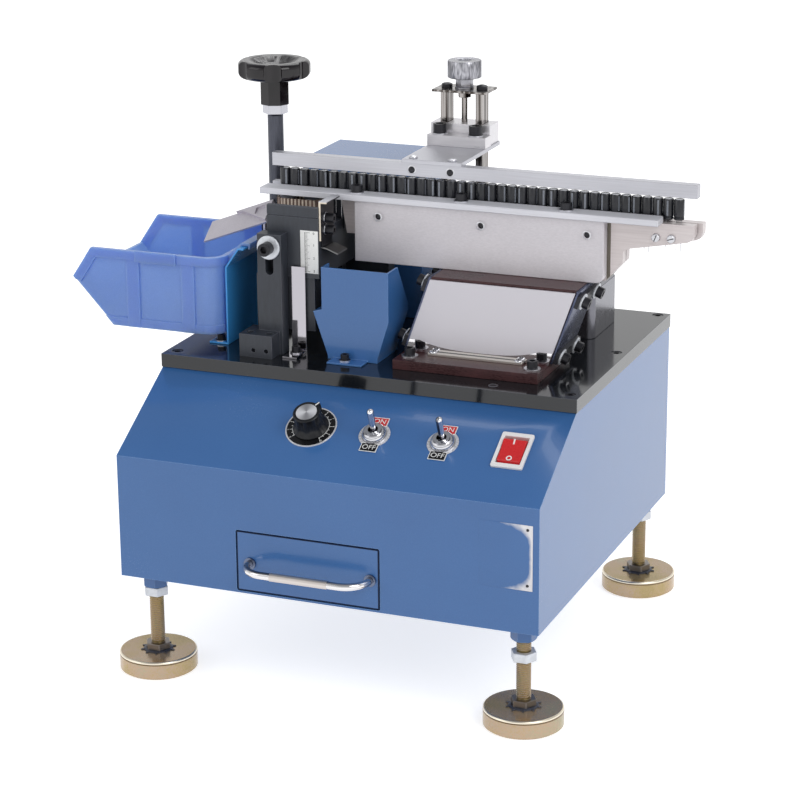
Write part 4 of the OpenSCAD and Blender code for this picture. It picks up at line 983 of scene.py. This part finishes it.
sleeves, tops, leads = bmesh.new(), bmesh.new(), bmesh.new()
for i in range(COUNT):
    x = FIRST_CAN + PITCH * i
    here = at(x, SLOT_Y, 0) @ rotated(1.7 * i)
    add(sleeves, lathe(CAN, 16), here)
    add(tops, lathe(LID, 16), here)
    tail = CUT_TAIL if x < CUT_X else LONG_TAIL + 2.4 * ((3 * i) % 4)
    for end in (-1, 1):
        lead = [(0, tail), (0.3, tail + 0.1), (0.3, CAN_LOW + 0.2), (0, CAN_LOW + 0.2)]
        add(leads, lathe(lead, 8), at(x + LEAD_GAP * end, SLOT_Y, 0))
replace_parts(make("capacitor_sleeves", sleeves, "can_sleeve", "trough"), "capacitor_row")
make("capacitor_tops", tops, "can_top", "trough")
make("capacitor_leads", leads, "tinned_lead", "trough")

# %% [markdown]
# Each sleeve carries a grey stripe that marks a pole, a narrow curved strip a hair outside the sleeve. A sine
# turns the cans this way and that.

# %% capacitor stripes
surface("stripe_grey", (104, 108, 116), (138, 142, 150), (0.3, 0.42), bump=0.03, depth=0.02)
bm = bmesh.new()
for i in range(COUNT):
    stripe = bmesh.new()
    line = [stripe.verts.new((CAN_R + 0.04, 0, z)) for z in (CAN_LOW + 3.2, CAN_HIGH - 0.9)]
    spin(stripe, line + [stripe.edges.new(line)], radians(20), 2)
    outward(stripe)
    if stripe.faces[:][0].normal.x < 0:
        bmesh.ops.reverse_faces(stripe, faces=stripe.faces[:])
    add(bm, stripe, at(FIRST_CAN + PITCH * i, SLOT_Y, 0) @ rotated(-1.2 + 0.9 * sin(2.3 * i)))
make("capacitor_stripes", bm, "stripe_grey", "trough")

# %% [markdown]
# The height adjuster is a turned knob with a fine straight knurl. The wall of the spun knob has many narrow
# steps, and moving every other one inwards makes the knurl.

# %% adjuster knob
ADJUSTER, KNURL, KNOB_R, GROOVE_R = at(20.2, 239.0, 337.8), 160, 13.0, 12.72
bm = lathe([(0, 0.1), (7.25, 0.1), (7.25, 1.3), (0, 1.3)])
hexagon = bmesh.new()
bmesh.ops.create_cone(hexagon, cap_ends=True, segments=6, radius1=6.93, radius2=6.93, depth=7.4,
                      matrix=at(0, 0, 5.0))
break_edges(hexagon, hexagon.edges[:], 0.3)
add(bm, hexagon)
make("adjuster_hex", bm, "plain_steel", "adjuster", ADJUSTER, 50)
wall = lathe([(0, 8.6), (12.7, 8.6), (KNOB_R, 8.9), (KNOB_R, 21.1), (12.5, 21.7), (5.4, 21.7), (5.0, 21.3),
              (5.0, 20.6), (0, 20.6)], KNURL)
for vert in wall.verts:
    step = round(atan2(vert.co.y, vert.co.x) / (2 * pi / KNURL)) % 2
    if vert.co.xy.length > KNOB_R - 0.1 and step:
        vert.co.xy *= GROOVE_R / KNOB_R
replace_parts(make("adjuster_grip", wall, "knurled_steel", "adjuster", ADJUSTER, 50), "adjuster_knob")

# %% [markdown]
# A small plate at the right of the cabinet front has been painted over: bare metal shows only along its right
# edge and corners. Its finish blends from enamel to bare by place, and two pins hold it.

# %% bare plate
PLATE_LEFT, PLATE_RIGHT, PLATE_LOW, PLATE_HIGH, WEAR, LEAST_WEAR = 120.0, 160.2, 33.0, 82.0, 12, 0.12
bare_plate = surface("bare_plate", **PAINT)
place = place_of(bare_plate.node_tree)
off_middle = calc("SUBTRACT", place["Z"], home.z + (PLATE_LOW + PLATE_HIGH) / 2 * MM)
tall = calc("DIVIDE", off_middle, (PLATE_HIGH - PLATE_LOW) / 2 * MM)
corner = calc("POWER", calc("ABSOLUTE", tall), 5)
reach = calc("MULTIPLY", calc("ADD", corner, LEAST_WEAR), WEAR * MM)
inset = calc("SUBTRACT", home.x + PLATE_RIGHT * MM, place["X"])
worn = calc("ADD", calc("DIVIDE", inset, reach), noise(bare_plate.node_tree, 260))
overlay(bare_plate, "Base Color", spread(worn, 2.4, 1.0), tone(226, 224, 226))
bm = block((PLATE_LEFT, -0.6, PLATE_LOW), (PLATE_RIGHT, 0.0, PLATE_HIGH), 0.15)
for vert in bm.verts:
    if vert.co.x < PLATE_LEFT + 1:
        vert.co.y *= 0.1
make("bare_plate", bm, "bare_plate", "base")
PIN = [(0, -0.1), (1.1, -0.1), (1.0, 0.3), (0.6, 0.5), (0, 0.55)]
pins = gather((lathe(PIN, 20), at(156.5, -0.6, z) @ upright) for z in (78.6, 36.9))
make("plate_pins", pins, "screw_black", "base")

# %% [markdown]
# A tapped hole in the deck stands open in front of the feeder. A countersunk ring with a dark disc of painted
# shade inside it shows the hole without cutting the plate.

# %% open hole in the deck
HOLE = at(97.9, 90.0, DECK)
make("hole_rim", lathe([(2.6, 0.0), (2.7, 0.16), (3.5, 0.16), (3.7, 0.0)], 40), "plain_steel", "base", HOLE)
# dark disc: painted shade inside the bore
make("hole_shade_disc", lathe([(0, 0.02), (2.62, 0.02), (2.62, 0.1), (0, 0.05)], 32), "screw_black", "base",
     HOLE)

# %% [markdown]
# Flush screws on the track beam and the guide bar sit in bright countersinks, and two slotted screws close
# the right end of the track. A spun ring makes each countersink, a spun head with a dark bar of painted slot
# shade each screw.

# %% countersinks and slotted screws
BEAM_FRONT, PLATE_FRONT, BAR_FRONT = 150.0, 158.5, 166.0
COUNTERSINK = [(2.55, 0.0), (2.65, 0.3), (3.2, 0.15), (3.4, 0.0)]
END_SCREW = [(0, -4), (2.9, -4), (2.9, 0.1), (2.5, 0.5), (0, 0.7)]
for name, row, z, y, body in (("beam_rims", (-16.3, 65.7, 148.0), 253.5, BEAM_FRONT, "trough"),
                              ("bar_rims", (5.2, 35.9), 288.1, BAR_FRONT, "guide")):
    make(name, gather((lathe(COUNTERSINK, 32), at(x, y, z) @ upright) for x in row), "plate_silver", body)
heads, slot_shade = bmesh.new(), bmesh.new()
for x, turn in ((197.5, 1.2), (209.0, 0.3)):
    here = at(x, PLATE_FRONT, 253.8) @ upright
    add(heads, lathe(END_SCREW, 32), here)
    # dark bar: painted shade of the slot
    add(slot_shade, block((-2.5, -0.35, 0.2), (2.5, 0.35, 0.74), 0.08), here @ rotated(turn))
make("end_screw_heads", heads, "plate_silver", "trough")
make("end_screw_slot_shade", slot_shade, "screw_black", "trough")

# %% [markdown]
# The back panel, the inlet and the drive cover are held by cross-head screws. One drawing of a domed head
# with its cross serves all of them, turned to face outwards. The cross is not cut: dark bars paint its shade.

# %% screws at the back
BACK, INLET_FACE, COVER_BACK, COVER_LEFT, COVER_ROW = 317.0, 319.5, 310.0, -115.0, DECK + 8
PANEL_SCREW, INLET_SCREW, COVER_SCREW = 3.2, 2.4, 2.8
rearward = rotated(radians(-90), "X")
leftward = rotated(radians(-90), "Y")
heads, cross_shade = bmesh.new(), bmesh.new()


def cross_head(place, r):
    dome = [(0, -0.2), (r, -0.2), (r, 0.5), (0.85 * r, 1.1), (0.5 * r, 1.5), (0, 1.7)]
    add(heads, lathe(dome, 32), place)
    for turn in (0.3, 0.3 + pi / 2):
        # dark bars of painted shade stand for the cross recess
        add(cross_shade, block((-0.6 * r, -0.11 * r, 1.2), (0.6 * r, 0.11 * r, 1.72), 0.06), place @ rotated(turn))


for x in (-155, 0, 155):
    for z in (9, 130):
        cross_head(at(x, BACK, z) @ rearward, PANEL_SCREW)
for x in (80, 120):
    cross_head(at(x, INLET_FACE, 40) @ rearward, INLET_SCREW)
for x in (-105, -24):
    cross_head(at(x, COVER_BACK, COVER_ROW) @ rearward, COVER_SCREW)
for y in (247, 298):
    cross_head(at(COVER_LEFT, y, COVER_ROW) @ leftward, COVER_SCREW)
make("rear_screw_heads", heads, "zinc_bright", "base")
make("rear_screw_cross_shade", cross_shade, "screw_black", "base")

# %% [markdown]
# The mains inlet at the back has three flat pins inside its shroud. A block with a bevel is all they need.

# %% inlet pins
pins = gather((block((-1.0, 304.5, -2.0), (1.0, 316.0, 2.0), 0.5), at(x, 0, z))
              for x, z in ((93.0, 38.0), (107.0, 38.0), (100.0, 42.5)))
make("inlet_pins", pins, "plain_steel", "base")
